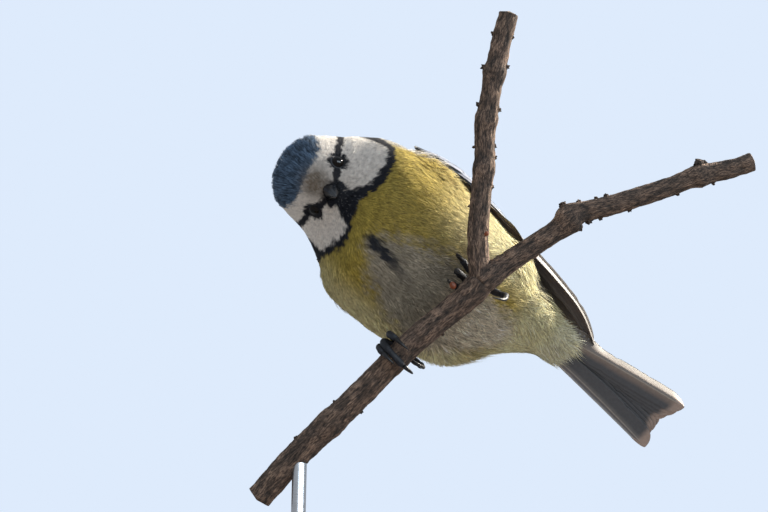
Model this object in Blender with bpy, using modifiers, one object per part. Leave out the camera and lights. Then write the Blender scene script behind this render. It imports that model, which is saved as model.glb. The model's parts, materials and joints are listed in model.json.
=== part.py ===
"""Blue tit, life size: a still model of the living bird on a forked twig, held by a stand.

The bird is laid out in a frame of its own: x forward from the middle of the body, y to its left
and z out of its back.  The head has a frame on the line between the eyes.  Both frames are empties,
and the sub-parts of the bird are their children.  The twig and the stand are laid out in the world,
whose origin is the centre of the stand's foot.  All lengths are metres.
"""

import math

import bmesh
import bpy
import numpy as np
from mathutils import Euler, Matrix, Vector, noise

MM = 0.001

# How the bird sits: its body climbs and leans with the twig, and its head is bowed and cocked.
BODY_PLACE = (7.3 * MM, 0.3 * MM, 159.4 * MM)
BODY_TURN = (36.6, -27.0, -150.3)
HEAD_PLACE = (28.4 * MM, 3.0 * MM, -7.7 * MM)
HEAD_TURN = (102.6, 76.5, 90.1)

# The gap between neighbouring parts, and the points in each ring of the body.
GAP = 0.3 * MM
BODY_SIDES = 32

# Body sections from under the tail to the shoulders, in mm:
# forward, left, up, half width, height of the back, depth of the belly.
TORSO_SECTIONS = (
    (-42.0, 4.3, 2.6, 2.6, 1.9, 2.5),
    (-37.0, 4.0, 2.5, 5.4, 3.6, 4.4),
    (-30.5, 3.0, 2.2, 9.2, 6.8, 7.8),
    (-25.2, 1.5, 1.7, 12.6, 9.6, 10.8),
    (-20.4, 0.5, 1.1, 15.7, 12.1, 13.4),
    (-14.4, -0.1, 0.5, 17.9, 14.7, 15.6),
    (-8.4, -0.3, 0.2, 18.8, 16.8, 16.9),
    (-2.4, -0.4, 0.0, 19.3, 18.0, 17.6),
    (3.6, -0.1, 0.0, 19.4, 18.3, 18.0),
    (10.2, 0.2, -0.3, 19.5, 17.3, 17.8),
    (16.0, 0.4, -0.8, 18.7, 15.2, 16.2),
)

# Head sections from the throat to the crown, in mm above the line between the eyes:
# up, left, half width, forward place of the widest point, depth behind it, depth before it,
# roundness.
HEAD_SECTIONS = (
    (-8.0, -1.8, 16.5, -8.2, 11.2, 13.2, 1.95),
    (-4.5, -0.8, 14.2, -8.5, 9.2, 11.6, 1.75),
    (-1.8, -0.3, 12.6, -8.5, 7.9, 12.3, 1.55),
    (0.0, -0.3, 11.6, -8.5, 7.3, 12.4, 1.50),
    (2.3, -0.3, 10.7, -8.4, 7.0, 12.0, 1.50),
    (5.0, -0.3, 9.6, -8.0, 6.8, 10.5, 1.60),
    (8.0, -0.3, 7.7, -7.2, 6.0, 7.6, 1.80),
    (10.3, -0.3, 4.7, -6.3, 4.0, 4.4, 2.00),
    (11.2, -0.3, 1.5, -6.0, 1.3, 1.4, 2.00),
)

# The sections turn from the body's axes to the head's between these two places.
TURN_START = 0.0
TURN_END = 22.0

# The neck's two cuts across the body, and a length that reaches past the whole body.
NECK_BACK = 14.6 * MM
NECK_FRONT = 22.4 * MM
BODY_REACH = 60 * MM

# Eyes: the visible cap is about 3 mm across, set into a ball 4 mm across.
EYE_RADIUS = 2.0 * MM
EYE_SPOT = (0.0, 6.25 * MM, 0.1 * MM)
EYE_LOOK = (0.66, 0.75, 0.05)
EYE_DEPTH = 1.35 * MM
LID_RADIUS = 1.88 * MM
LID_THICKNESS = 0.4 * MM

# Bill: short and stout, 7.3 mm from the socket to the tip.
BILL_BASE = 2.7 * MM
BILL_TIP = 10.0 * MM
BILL_HALF_WIDTH = 1.95 * MM
BILL_GAPE = -1.05 * MM
BILL_GAPE_DROP = 0.5 * MM
# The bill stands a touch to the right of the line midway between the eyes.
BILL_SIDE = -0.4 * MM
CULMEN_HEIGHT = 1.95 * MM
GONYS_DEPTH = 1.85 * MM
LOWER_BILL_SHORT = 0.6 * MM
NOSTRIL_RADIUS = 0.36 * MM

# Tail: twelve feathers that fan a little, the middle pair on top.
TAIL_ROOT = (-25.0 * MM, 3.0 * MM, 3.3 * MM)
TAIL_MIDDLE = (-48.0 * MM, 4.6 * MM, 2.2 * MM)
TAIL_END = (-73.0 * MM, 5.5 * MM, -0.7 * MM)
TAIL_FEATHERS = 12
TAIL_ROOT_SPREAD = 1.2 * MM
TAIL_END_SPREAD = 5.6 * MM
TAIL_FEATHER_WIDTH = 5.2 * MM
TAIL_FORK = 1.5 * MM
TAIL_STEP = 0.26 * MM

VANE_THICKNESS = 0.5 * MM
# How far the middle of a wing's core lies from the sheet; each feather starts there and rises.
CORE_LEVEL = -0.5 * MM

# Wing sheets, in mm: forward, then left and up of the outer edge, then of the edge on the back,
# and how far the sheet swells between them.
LEFT_WING = (
    (13.0, 19.3, 7.8, 10.6, 16.8, 3.1),
    (6.0, 20.7, 6.2, 9.2, 18.9, 3.9),
    (0.0, 21.0, 5.4, 8.0, 19.7, 4.4),
    (-10.0, 20.0, 4.8, 6.6, 18.9, 4.0),
    (-20.0, 18.3, 4.9, 6.0, 16.3, 3.0),
    (-30.0, 16.3, 5.2, 5.6, 13.2, 2.0),
    (-40.0, 13.8, 5.0, 6.2, 9.9, 1.0),
    (-51.0, 8.8, 4.9, 7.2, 6.6, 0.3),
)
RIGHT_WING = (
    (13.0, -18.6, 8.2, -8.2, 16.8, 3.1),
    (6.0, -20.3, 6.6, -7.2, 18.9, 3.9),
    (0.0, -20.4, 5.6, -6.2, 19.7, 4.4),
    (-10.0, -18.7, 7.0, -4.2, 19.4, 3.8),
    (-20.0, -13.6, 10.2, -1.2, 17.4, 2.6),
    (-30.0, -6.6, 12.4, 0.6, 15.2, 1.5),
    (-40.0, -2.4, 11.8, 1.6, 12.8, 0.8),
    (-51.0, 0.6, 9.6, 1.6, 10.0, 0.3),
)

# How far the wing's front edge runs back from the wrist to the shoulder, in mm.
WING_SHOULDER_SLOPE = 8.0
# How far each wing feather is rolled, so that its outer edge lies over its neighbour.
FEATHER_ROLL = 8.0
FEATHER_SEED = 3

# Twig: routes of the three arms from the fork, in mm, and their thicknesses.
FORK = (21.3, -17.6, 145.6)
STEM_ROUTE = (
    (-27.6, 4.4, 103.2), (-18.4, 0.1, 112.4), (-7.1, -4.4, 122.1), (5.6, -10.2, 133.4),
    (18.4, -15.9, 142.8), FORK,
)
UPRIGHT_ROUTE = (
    FORK, (20.6, -21.3, 151.5), (20.8, -24.5, 158.0), (22.0, -29.5, 168.9),
    (22.3, -33.0, 176.3), (25.1, -39.6, 190.5), (27.3, -43.3, 198.3),
)
SIDE_ROUTE = (
    FORK, (25.9, -19.0, 148.6), (32.1, -20.7, 152.3), (38.7, -22.5, 156.3),
    (42.4, -23.8, 159.1), (48.5, -24.5, 160.5), (54.3, -25.2, 162.0), (61.3, -26.2, 164.0),
    (68.6, -27.3, 166.5), (75.8, -28.0, 168.0), (80.9, -28.7, 169.4),
)
STEM_RADIUS = 2.95 * MM
UPRIGHT_RADIUS = 2.38 * MM
SIDE_RADIUS = 2.35 * MM
TWIG_STEP = 3.2 * MM

# Stand: a turned wooden foot and one steel rod.
FOOT_RADIUS = 60.0 * MM
FOOT_HEIGHT = 9.0 * MM
ROD_PLACE = (-18.6 * MM, 0.2 * MM)
ROD_RADIUS = 1.6 * MM
ROD_TOP = 112.3 * MM
COLLAR_RADIUS = 5.0 * MM
COLLAR_HEIGHT = 6.0 * MM


# ---------------------------------------------------------------- small tools

def clear_scene():
    for thing in list(bpy.data.objects):
        bpy.data.objects.remove(thing, do_unlink=True)


def new_collection(name):
    collection = bpy.data.collections.get(name) or bpy.data.collections.new(name)
    if name not in bpy.context.scene.collection.children:
        bpy.context.scene.collection.children.link(collection)
    return collection


def new_material(name, colour, roughness, metallic=0.0):
    material = bpy.data.materials.new(name)
    material.use_nodes = True
    shader = material.node_tree.nodes["Principled BSDF"]
    shader.inputs["Base Color"].default_value = (*colour, 1.0)
    shader.inputs["Roughness"].default_value = roughness
    shader.inputs["Metallic"].default_value = metallic
    return material


def new_empty(name, place, turn_degrees, parent=None):
    empty = bpy.data.objects.new(name, None)
    empty.location = place
    empty.rotation_euler = [math.radians(angle) for angle in turn_degrees]
    empty.parent = parent
    bpy.context.scene.collection.objects.link(empty)
    bpy.context.view_layer.update()
    return empty


def new_object(name, points, faces, parent, collection):
    mesh = bpy.data.meshes.new(name)
    mesh.from_pydata([tuple(float(v) for v in point) for point in points], [], faces)
    mesh.validate()
    thing = bpy.data.objects.new(name, mesh)
    thing.parent = parent
    collection.objects.link(thing)
    return thing


def sampled(stations, at):
    """Smooth values of a table of stations, whose first column rises or falls steadily."""
    table = np.array(sorted(stations), dtype=float)
    key = table[:, 0]
    value = table[:, 1:]
    slope = np.gradient(value, key, axis=0)
    spot = np.clip(np.atleast_1d(np.asarray(at, dtype=float)), key[0], key[-1])
    index = np.clip(np.searchsorted(key, spot, side="right") - 1, 0, len(key) - 2)
    width = (key[index + 1] - key[index])
    t = ((spot - key[index]) / width)[:, None]
    width = width[:, None]
    low = value[index]
    high = value[index + 1]
    return ((2 * t ** 3 - 3 * t ** 2 + 1) * low + (t ** 3 - 2 * t ** 2 + t) * width * slope[index]
            + (3 * t ** 2 - 2 * t ** 3) * high + (t ** 3 - t ** 2) * width * slope[index + 1])


def unit(vector):
    return vector / np.linalg.norm(vector)


def keep_largest(thing):
    """Leave only the closed surface with the most faces."""
    work = bmesh.new()
    work.from_mesh(thing.data)
    work.faces.ensure_lookup_table()
    seen = set()
    islands = []
    for face in work.faces:
        if face.index in seen:
            continue
        seen.add(face.index)
        island = [face]
        queue = [face]
        while queue:
            for edge in queue.pop().edges:
                for other in edge.link_faces:
                    if other.index not in seen:
                        seen.add(other.index)
                        island.append(other)
                        queue.append(other)
        islands.append(island)
    largest = max(islands, key=lambda island: sum(f.calc_area() for f in island))
    loose = [face for island in islands if island is not largest for face in island]
    bmesh.ops.delete(work, geom=loose, context="FACES")
    bmesh.ops.dissolve_degenerate(work, dist=1e-7, edges=work.edges)
    bmesh.ops.triangulate(work, faces=work.faces)
    work.to_mesh(thing.data)
    work.free()


def apply_modifiers(thing):
    bpy.context.view_layer.update()
    graph = bpy.context.evaluated_depsgraph_get()
    mesh = bpy.data.meshes.new_from_object(thing.evaluated_get(graph))
    thing.modifiers.clear()
    thing.data = mesh


def fuse(name, pieces, parent, material, parts):
    """Join closed pieces into one closed body by a union on their collection."""
    base = pieces[0]
    others = new_collection("union_pieces")
    for piece in pieces[1:]:
        for old in list(piece.users_collection):
            old.objects.unlink(piece)
        others.objects.link(piece)
    union = base.modifiers.new("Union", "BOOLEAN")
    union.operation = "UNION"
    union.operand_type = "COLLECTION"
    union.collection = others
    union.solver = "MANIFOLD"
    apply_modifiers(base)
    for piece in list(others.objects):
        bpy.data.objects.remove(piece, do_unlink=True)
    keep_largest(base)
    return finish(base, name, parent, material, parts)


def finish(thing, name, parent, material, parts):
    """Give a body its node's name, its material, its parent and its place among the parts."""
    thing.name = name
    thing.data.name = name
    thing.parent = parent
    thing.data.materials.clear()
    thing.data.materials.append(material)
    for old in list(thing.users_collection):
        old.objects.unlink(thing)
    parts.objects.link(thing)
    thing.data.shade_smooth()
    thing.data.set_sharp_from_angle(angle=math.radians(45))
    return thing


def cut(thing, cutter, operation="DIFFERENCE", solver="EXACT", keep_cutter=False):
    modifier = thing.modifiers.new("Cut", "BOOLEAN")
    modifier.operation = operation
    modifier.object = cutter
    modifier.solver = solver
    apply_modifiers(thing)
    if not keep_cutter:
        bpy.data.objects.remove(cutter, do_unlink=True)
    keep_largest(thing)


def ball(name, place, radii, parent, collection, segments=16, rings=10):
    work = bmesh.new()
    bmesh.ops.create_uvsphere(work, u_segments=segments, v_segments=rings, radius=1.0)
    bmesh.ops.scale(work, vec=radii, verts=work.verts)
    bmesh.ops.translate(work, vec=place, verts=work.verts)
    mesh = bpy.data.meshes.new(name)
    work.to_mesh(mesh)
    work.free()
    thing = bpy.data.objects.new(name, mesh)
    thing.parent = parent
    collection.objects.link(thing)
    return thing


def tube(name, route, radii, parent, collection, bevel_resolution=2):
    """A round tube of changing radius along a route, as a mesh."""
    curve = bpy.data.curves.new(name, "CURVE")
    curve.dimensions = "3D"
    curve.bevel_depth = 1.0
    curve.bevel_resolution = bevel_resolution
    curve.use_fill_caps = True
    spline = curve.splines.new("POLY")
    spline.points.add(len(route) - 1)
    for point, place, radius in zip(spline.points, route, radii):
        point.co = (*[float(v) for v in place], 1.0)
        point.radius = float(radius)
    drawn = bpy.data.objects.new(name, curve)
    drawn.parent = parent
    collection.objects.link(drawn)
    bpy.context.view_layer.update()
    graph = bpy.context.evaluated_depsgraph_get()
    mesh = bpy.data.meshes.new_from_object(drawn.evaluated_get(graph))
    work = bmesh.new()
    work.from_mesh(mesh)
    bmesh.ops.remove_doubles(work, verts=work.verts, dist=1e-6)
    bmesh.ops.recalc_face_normals(work, faces=work.faces)
    work.to_mesh(mesh)
    work.free()
    bpy.data.objects.remove(drawn, do_unlink=True)
    bpy.data.curves.remove(curve)
    thing = bpy.data.objects.new(name, mesh)
    thing.parent = parent
    collection.objects.link(thing)
    return thing


# ---------------------------------------------------------------- flesh

def turn_matrix(degrees):
    return np.array(Euler([math.radians(angle) for angle in degrees]).to_matrix())


def body_sections():
    """Each section's centre, side axis, back axis, sizes and roundness, in the body's frame."""
    head = turn_matrix(HEAD_TURN)
    forward, left, up = head[:, 0], head[:, 1], head[:, 2]
    rows = []
    for x, y, z, half_width, back, belly in TORSO_SECTIONS:
        t = min(max((x - TURN_START) / (TURN_END - TURN_START), 0.0), 1.0)
        turn = t * t * (3 - 2 * t)
        side = np.array((0.0, 1.0, 0.0)) * (1 - turn) + left * turn
        dorsal = np.array((0.0, 0.0, 1.0)) * (1 - turn) - forward * turn
        rows.append((x, y, z, *side, *dorsal, half_width, back, belly, 2.0))
    for rise, shift, half_width, middle, back, front, roundness in HEAD_SECTIONS:
        centre = np.array(HEAD_PLACE) / MM + up * rise + forward * middle + left * shift
        rows.append((*centre, *left, *(-forward), half_width, back, front, roundness))
    return rows


def flesh_ring(row, grow):
    """One ring of points round a section."""
    centre = np.array(row[0:3])
    side = unit(np.array(row[3:6]))
    dorsal = unit(np.array(row[6:9]))
    half_width, back, belly, roundness = row[9:13]
    ring = []
    for step in range(BODY_SIDES):
        angle = 2 * math.pi * step / BODY_SIDES
        across = math.cos(angle)
        rise = math.sin(angle)
        power = 1.0 if rise >= 0 else 2.0 / roundness
        depth = back if rise >= 0 else belly
        offset_side = math.copysign(abs(across) ** power, across) * (half_width + grow)
        offset_back = math.copysign(abs(rise) ** power, rise) * (depth + grow)
        ring.append((centre + side * offset_side + dorsal * offset_back) * MM)
    return ring


def flesh_body(name, parent, collection, steps_per_section=2, grow=0.0):
    """The whole bird without bill, wings and tail: a loft from the tail coverts to the crown."""
    rows = body_sections()
    stations = [(index, *row) for index, row in enumerate(rows)]
    count = (len(rows) - 1) * steps_per_section + 1
    fine = sampled(stations, np.linspace(0, len(rows) - 1, count))
    rings = [flesh_ring(row, grow / MM) for row in fine]
    points = [point for ring in rings for point in ring]
    faces = []
    for ring in range(len(rings) - 1):
        for step in range(BODY_SIDES):
            after = (step + 1) % BODY_SIDES
            low = ring * BODY_SIDES
            high = low + BODY_SIDES
            faces.append((low + step, low + after, high + after, high + step))
    for start, order in ((0, 1), ((len(rings) - 1) * BODY_SIDES, -1)):
        centre = len(points)
        ring = points[start:start + BODY_SIDES]
        points.append(sum(ring) / BODY_SIDES)
        for step in range(BODY_SIDES):
            pair = (start + step, start + (step + 1) % BODY_SIDES)[::order]
            faces.append((centre, pair[1], pair[0]))
    thing = new_object(name, points, faces, parent, collection)
    face_outward(thing)
    return thing


def face_outward(thing):
    work = bmesh.new()
    work.from_mesh(thing.data)
    bmesh.ops.recalc_face_normals(work, faces=work.faces)
    if work.calc_volume(signed=True) < 0:
        bmesh.ops.reverse_faces(work, faces=work.faces)
    work.to_mesh(thing.data)
    work.free()


def slab(name, start, end, parent, collection):
    """A wide block between two places along the body's axis, for keeping one stretch of it."""
    work = bmesh.new()
    bmesh.ops.create_cube(work, size=1.0)
    bmesh.ops.scale(work, vec=(end - start, BODY_REACH, BODY_REACH), verts=work.verts)
    bmesh.ops.translate(work, vec=((start + end) / 2, 0, 0), verts=work.verts)
    mesh = bpy.data.meshes.new(name)
    work.to_mesh(mesh)
    work.free()
    thing = bpy.data.objects.new(name, mesh)
    thing.parent = parent
    collection.objects.link(thing)
    return thing


def head_node(whole, body, head, cutters, parts, material):
    stretch = slab("head_stretch", NECK_FRONT + GAP, BODY_REACH, body, cutters)
    cut(whole, stretch, "INTERSECT")
    pieces = [whole]
    for side in (1, -1):
        spot = Vector((EYE_SPOT[0], EYE_SPOT[1] * side, EYE_SPOT[2]))
        look = Vector((EYE_LOOK[0], EYE_LOOK[1] * side, EYE_LOOK[2])).normalized()
        turn = look.to_track_quat("Z", "Y").to_matrix().to_4x4()
        bpy.ops.mesh.primitive_torus_add(major_segments=20, minor_segments=6,
                                         major_radius=LID_RADIUS, minor_radius=LID_THICKNESS)
        lid = bpy.context.object
        lid.data.transform(Matrix.Translation(spot) @ turn)
        lid.parent = head
        pieces.append(lid)
    thing = fuse("head", pieces, body, material, parts)
    for side in (1, -1):
        socket = ball("socket", eye_centre(side), [EYE_RADIUS + GAP] * 3, head, cutters, 20, 12)
        cut(thing, socket)
    socket = bill_socket(head, cutters)
    cut(thing, socket)
    return finish(thing, "head", body, material, parts)


def eye_centre(side):
    look = Vector((EYE_LOOK[0], EYE_LOOK[1] * side, EYE_LOOK[2])).normalized()
    return Vector((EYE_SPOT[0], EYE_SPOT[1] * side, EYE_SPOT[2])) - look * EYE_DEPTH


def bill_socket(head, cutters):
    depth = 8 * MM
    bpy.ops.mesh.primitive_cylinder_add(vertices=24, radius=BILL_HALF_WIDTH + GAP, depth=depth)
    socket = bpy.context.object
    centre = Vector((BILL_BASE - GAP + depth / 2, BILL_SIDE, BILL_GAPE))
    socket.data.transform(Matrix.Translation(centre) @ Matrix.Rotation(math.pi / 2, 4, "Y"))
    socket.parent = head
    return socket


def bill_half(name, upper, head, parts, cutters, material):
    """Half of the bill: half rings that shrink to the tip, flat where the halves meet."""
    rings = 9
    sides = 10
    length = BILL_TIP - BILL_BASE - (0 if upper else LOWER_BILL_SHORT)
    height = CULMEN_HEIGHT if upper else GONYS_DEPTH
    sign = 1 if upper else -1
    points = []
    for ring in range(rings):
        t = ring / (rings - 1)
        taper = (1 - t ** 1.55) * 0.94 + 0.06
        width = BILL_HALF_WIDTH * ((1 - t ** 1.15) * 0.95 + 0.05)
        gape = BILL_GAPE - BILL_GAPE_DROP * t + sign * GAP / 2
        for step in range(sides + 1):
            angle = math.pi * step / sides
            points.append((BILL_BASE + length * t, BILL_SIDE + width * math.cos(angle),
                           gape + sign * height * taper * math.sin(angle)))
    faces = []
    across = sides + 1
    for ring in range(rings - 1):
        low = ring * across
        high = low + across
        for step in range(sides):
            faces.append((low + step, low + step + 1, high + step + 1, high + step))
        faces.append((low + sides, low, high, high + sides))
    faces.append(tuple(range(across)))
    faces.append(tuple(range((rings - 1) * across, rings * across)))
    thing = new_object(name, points, faces, head, parts)
    face_outward(thing)
    if upper:
        for side in (1, -1):
            place = (BILL_BASE + 1.3 * MM, BILL_SIDE + side * BILL_HALF_WIDTH * 0.86,
                     BILL_GAPE + 0.75 * MM)
            nostril = ball("nostril", place, [NOSTRIL_RADIUS] * 3, head, cutters, 10, 6)
            cut(thing, nostril)
    return finish(thing, name, head, material, parts)


def torso_and_neck(body, parts, cutters, materials):
    torso = flesh_body("torso", body, parts)
    cut(torso, slab("torso_stretch", -BODY_REACH, NECK_BACK, body, cutters), "INTERSECT")
    slot = tail_slot(body, cutters)
    cut(torso, slot)
    finish(torso, "torso", body, materials["yellow"], parts)
    neck = flesh_body("neck", body, parts)
    cut(neck, slab("neck_stretch", NECK_BACK + GAP, NECK_FRONT, body, cutters), "INTERSECT")
    finish(neck, "neck", body, materials["yellow"], parts)


# ---------------------------------------------------------------- feathers

def vane(name, route, across, outward, half_widths, parent, collection):
    """One feather: a thin plate along a route, with the same triangles on both faces."""
    points = []
    for place, side, normal, half_width in zip(route, across, outward, half_widths):
        lift = normal * VANE_THICKNESS / 2
        reach = side * half_width
        points += [place - reach + lift, place + reach + lift,
                   place + reach - lift, place - reach - lift]
    faces = []
    for ring in range(len(route) - 1):
        low = ring * 4
        high = low + 4
        faces.append((low, low + 1, high + 1))
        faces.append((low, high + 1, high))
        faces.append((low + 3, high + 2, low + 2))
        faces.append((low + 3, high + 3, high + 2))
        faces.append((low + 1, low + 2, high + 2, high + 1))
        faces.append((low + 3, low, high, high + 3))
    last = (len(route) - 1) * 4
    faces.append((3, 2, 1, 0))
    faces.append((last, last + 1, last + 2, last + 3))
    thing = new_object(name, points, faces, parent, collection)
    face_outward(thing)
    return thing


def tail_axis(t):
    root, middle, end = (np.array(place) for place in (TAIL_ROOT, TAIL_MIDDLE, TAIL_END))
    return root * (1 - t) ** 2 + 2 * t * (1 - t) * (2 * middle - (root + end) / 2) + end * t ** 2


def tail_slot(body, cutters):
    """The slot between the upper and lower tail coverts that the tail comes out of."""
    rings = ((-0.14, 4.3, 1.9), (0.1, 4.4, 1.9), (0.3, 6.4, 1.8), (0.5, 9.5, 1.8))
    points = []
    for t, half_width, half_height in rings:
        centre = tail_axis(t)
        for y, z in ((-1, -1), (1, -1), (1, 1), (-1, 1)):
            points.append(centre + np.array((0, y * half_width, z * half_height)) * MM)
    faces = [(0, 1, 2, 3)]
    for ring in range(len(rings) - 1):
        low = ring * 4
        for step in range(4):
            after = (step + 1) % 4
            faces.append((low + step, low + after, low + 4 + after, low + 4 + step))
    last = (len(rings) - 1) * 4
    faces.append((last + 3, last + 2, last + 1, last))
    slot = new_object("tail_slot", points, faces, body, cutters)
    face_outward(slot)
    return slot


def tail_node(body, parts, cutters, material):
    pieces = [ball("tail_root", tail_axis(0.0), (3.6 * MM, 3.2 * MM, 1.3 * MM), body, cutters)]
    middle = (TAIL_FEATHERS - 1) / 2
    stages = np.array((0.0, 0.2, 0.42, 0.64, 0.82, 0.93, 1.0))
    widths = np.array((0.40, 0.62, 0.84, 0.98, 1.0, 0.80, 0.34))
    for feather in range(TAIL_FEATHERS):
        place = (feather - middle) / middle
        reach = 1 + TAIL_FORK / 48 / MM * abs(place) ** 1.5
        level = TAIL_STEP * (middle - abs(feather - middle)) - 0.7 * MM
        route = []
        across = []
        outward = []
        for t in stages:
            spread = place * (TAIL_ROOT_SPREAD + TAIL_END_SPREAD * (t * reach) ** 1.3)
            route.append(tail_axis(t * reach) + np.array((0, spread, level)))
            slant = place * 0.12
            across.append(unit(np.array((slant, 1.0, 0.0))))
            outward.append(np.array((0.0, 0.0, 1.0)))
        pieces.append(vane("tail_feather", route, across, outward,
                           widths * TAIL_FEATHER_WIDTH / 2, body, cutters))
    fuse("tail", pieces, body, material, parts)


class WingSheet:
    """The surface that a folded wing's feathers lie on, from wrist to tip and edge to back."""

    def __init__(self, stations):
        self.stations = stations
        self.front = stations[0][0]
        self.back = stations[-1][0]
        self.side = 1 if stations[0][1] > 0 else -1

    def at(self, along, across):
        start = self.front - WING_SHOULDER_SLOPE * max(across, 0.0) ** 1.5
        x = start + (self.back - start) * along
        outer_y, outer_z, inner_y, inner_z, swell = sampled(self.stations, x)[0]
        outer = np.array((x, outer_y, outer_z))
        inner = np.array((x, inner_y, inner_z))
        chord = inner - outer
        normal = unit(np.array((0.0, chord[2], -chord[1]))) * self.side
        bulge = swell * 4 * across * (1 - across) if 0 <= across <= 1 else 0.0
        return (outer + chord * across + normal * bulge) * MM

    def frame(self, along, across):
        """Directions across the feathers and out of the sheet."""
        step = 0.02
        run = self.at(along + step, across) - self.at(along - step, across)
        over = self.at(along, across + step) - self.at(along, across - step)
        outward = unit(np.cross(run, over)) * self.side
        return unit(over), outward

    def feather(self, name, root, tip, width, level, segments, body, cutters):
        """One vane from a root to a tip, both given as (along, across) on the sheet."""
        stages = np.linspace(0, 1, segments + 1)
        shape = np.clip(0.55 + 1.2 * stages, 0, 1) * np.sqrt(np.clip(1.06 - stages ** 6, 0, 1))
        route = []
        sides = []
        outward = []
        for t in stages:
            along = root[0] + (tip[0] - root[0]) * t
            across = root[1] + (tip[1] - root[1]) * t
            side, normal = self.frame(along, across)
            rise = CORE_LEVEL + (level - CORE_LEVEL) * (1 - (1 - t) ** 2)
            route.append(self.at(along, across) + normal * rise)
            sides.append(side)
            outward.append(normal)
        run = unit(route[-1] - route[0])
        roll = math.radians(FEATHER_ROLL)
        rolled = [side * math.cos(roll) - normal * math.sin(roll)
                  for side, normal in zip(sides, outward)]
        outward = [normal * math.cos(roll) + side * math.sin(roll)
                   for side, normal in zip(sides, outward)]
        sides = [unit(side - run * np.dot(side, run)) for side in rolled]
        return vane(name, route, sides, outward, shape * width / 2, body, cutters)


def wing_core(sheet, body, cutters):
    """The arm and hand under the coverts: a thin lens that all the feathers are rooted in."""
    alongs = np.linspace(0.0, 0.5, 8)
    acrosses = np.linspace(0.0, 1.0, 7)
    points = []
    for face in (1, -1):
        for along in alongs:
            for across in acrosses:
                side, normal = sheet.frame(along, across)
                rim = min(across, 1 - across, along * 2 + 0.05, (0.5 - along) * 1.5) * 4
                thickness = (0.30 + 0.30 * min(rim, 1.0)) * MM
                points.append(sheet.at(along, across) + normal * (CORE_LEVEL + thickness * face))
    across_count = len(acrosses)
    layer = len(alongs) * across_count
    faces = []
    for row in range(len(alongs) - 1):
        for column in range(across_count - 1):
            a = row * across_count + column
            b = a + 1
            c = b + across_count
            d = a + across_count
            faces.append((a, b, c))
            faces.append((a, c, d))
            faces.append((layer + a, layer + c, layer + b))
            faces.append((layer + a, layer + d, layer + c))
    rim = [column for column in range(across_count)]
    rim += [row * across_count + across_count - 1 for row in range(1, len(alongs))]
    rim += [(len(alongs) - 1) * across_count + column for column in range(across_count - 2, -1, -1)]
    rim += [row * across_count for row in range(len(alongs) - 2, 0, -1)]
    for index, here in enumerate(rim):
        after = rim[(index + 1) % len(rim)]
        faces.append((here, layer + here, layer + after, after))
    core = new_object("wing_core", points, faces, body, cutters)
    face_outward(core)
    return core


def wing_node(name, stations, body, parts, cutters, material):
    sheet = WingSheet(stations)
    vary = np.random.default_rng(FEATHER_SEED)
    pieces = [wing_core(sheet, body, cutters)]
    rows = (
        # name, count, first root, last root, first tip, last tip, width in mm, levels in mm, segments
        ("primary", 8, (0.20, 0.06), (0.34, 0.26), (0.985, 0.10), (0.78, 0.22), 4.0, (-1.05, -0.55), 6),
        ("secondary", 6, (0.36, 0.22), (0.40, 0.66), (0.76, 0.20), (0.70, 0.60), 5.0, (-0.40, -0.15), 5),
        ("tertial", 3, (0.38, 0.70), (0.34, 0.92), (0.72, 0.66), (0.56, 0.90), 5.6, (0.00, 0.30), 5),
        ("great_covert", 8, (0.18, 0.07), (0.20, 0.90), (0.40, 0.08), (0.44, 0.90), 4.2, (0.10, 0.40), 3),
        ("middle_covert", 7, (0.05, 0.10), (0.05, 0.86), (0.25, 0.10), (0.25, 0.88), 4.4, (0.45, 0.75), 3),
    )
    for row, count, root_a, root_b, tip_a, tip_b, width, levels, segments in rows:
        for index in range(count):
            t = index / (count - 1)
            root = [a + (b - a) * t for a, b in zip(root_a, root_b)]
            tip = [a + (b - a) * t for a, b in zip(tip_a, tip_b)]
            tip[0] += vary.uniform(-0.006, 0.006)
            level = (levels[0] + (levels[1] - levels[0]) * t + vary.uniform(-0.03, 0.03)) * MM
            span = width * vary.uniform(0.96, 1.04) * MM
            pieces.append(sheet.feather(row, root, tip, span, level, segments, body, cutters))
    fuse(name, pieces, body, material, parts)


# ---------------------------------------------------------------- twig and feet

def smooth_route(points, step):
    """Points at even steps along a smooth curve through the given ones."""
    places = np.array(points, dtype=float)
    stations = [(index, *place) for index, place in enumerate(places)]
    fine = sampled(stations, np.linspace(0, len(places) - 1, 400))
    runs = np.concatenate(([0.0], np.cumsum(np.linalg.norm(np.diff(fine, axis=0), axis=1))))
    count = max(2, int(round(runs[-1] / step)) + 1)
    marks = np.linspace(0, runs[-1], count)
    return np.stack([np.interp(marks, runs, fine[:, axis]) for axis in range(3)], axis=1)


def twig_arm(name, route, base_radius, taper, swellings, seed, collection, grow=0.0):
    """A length of twig with knots and an uneven skin."""
    points = smooth_route([np.array(place) * MM for place in route], TWIG_STEP)
    length = np.linspace(0, 1, len(points))
    radii = base_radius * (1 + (taper - 1) * length) + grow
    for place, height, spread in swellings:
        radii = radii + height * MM * np.exp(-((length - place) / spread) ** 2)
    arm = tube(name, points, radii, None, collection, bevel_resolution=3)
    for vertex in arm.data.vertices:
        wobble = noise.noise(Vector(vertex.co) * 420 + Vector((seed, 0, 0)))
        nearest = points[np.argmin(np.linalg.norm(points - np.array(vertex.co), axis=1))]
        away = Vector(vertex.co) - Vector(nearest)
        if away.length > base_radius * 0.5:
            vertex.co += away.normalized() * wobble * 0.22 * MM
    return arm


STEM_SWELLINGS = ((0.33, 0.35, 0.04), (0.97, 0.2, 0.05))
UPRIGHT_SWELLINGS = ((0.02, 0.2, 0.06), (0.42, 0.35, 0.03), (0.60, 0.35, 0.03), (0.78, 0.45, 0.03))
SIDE_SWELLINGS = ((0.02, 0.7, 0.05), (0.36, 1.1, 0.035), (0.82, 0.5, 0.03))


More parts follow.
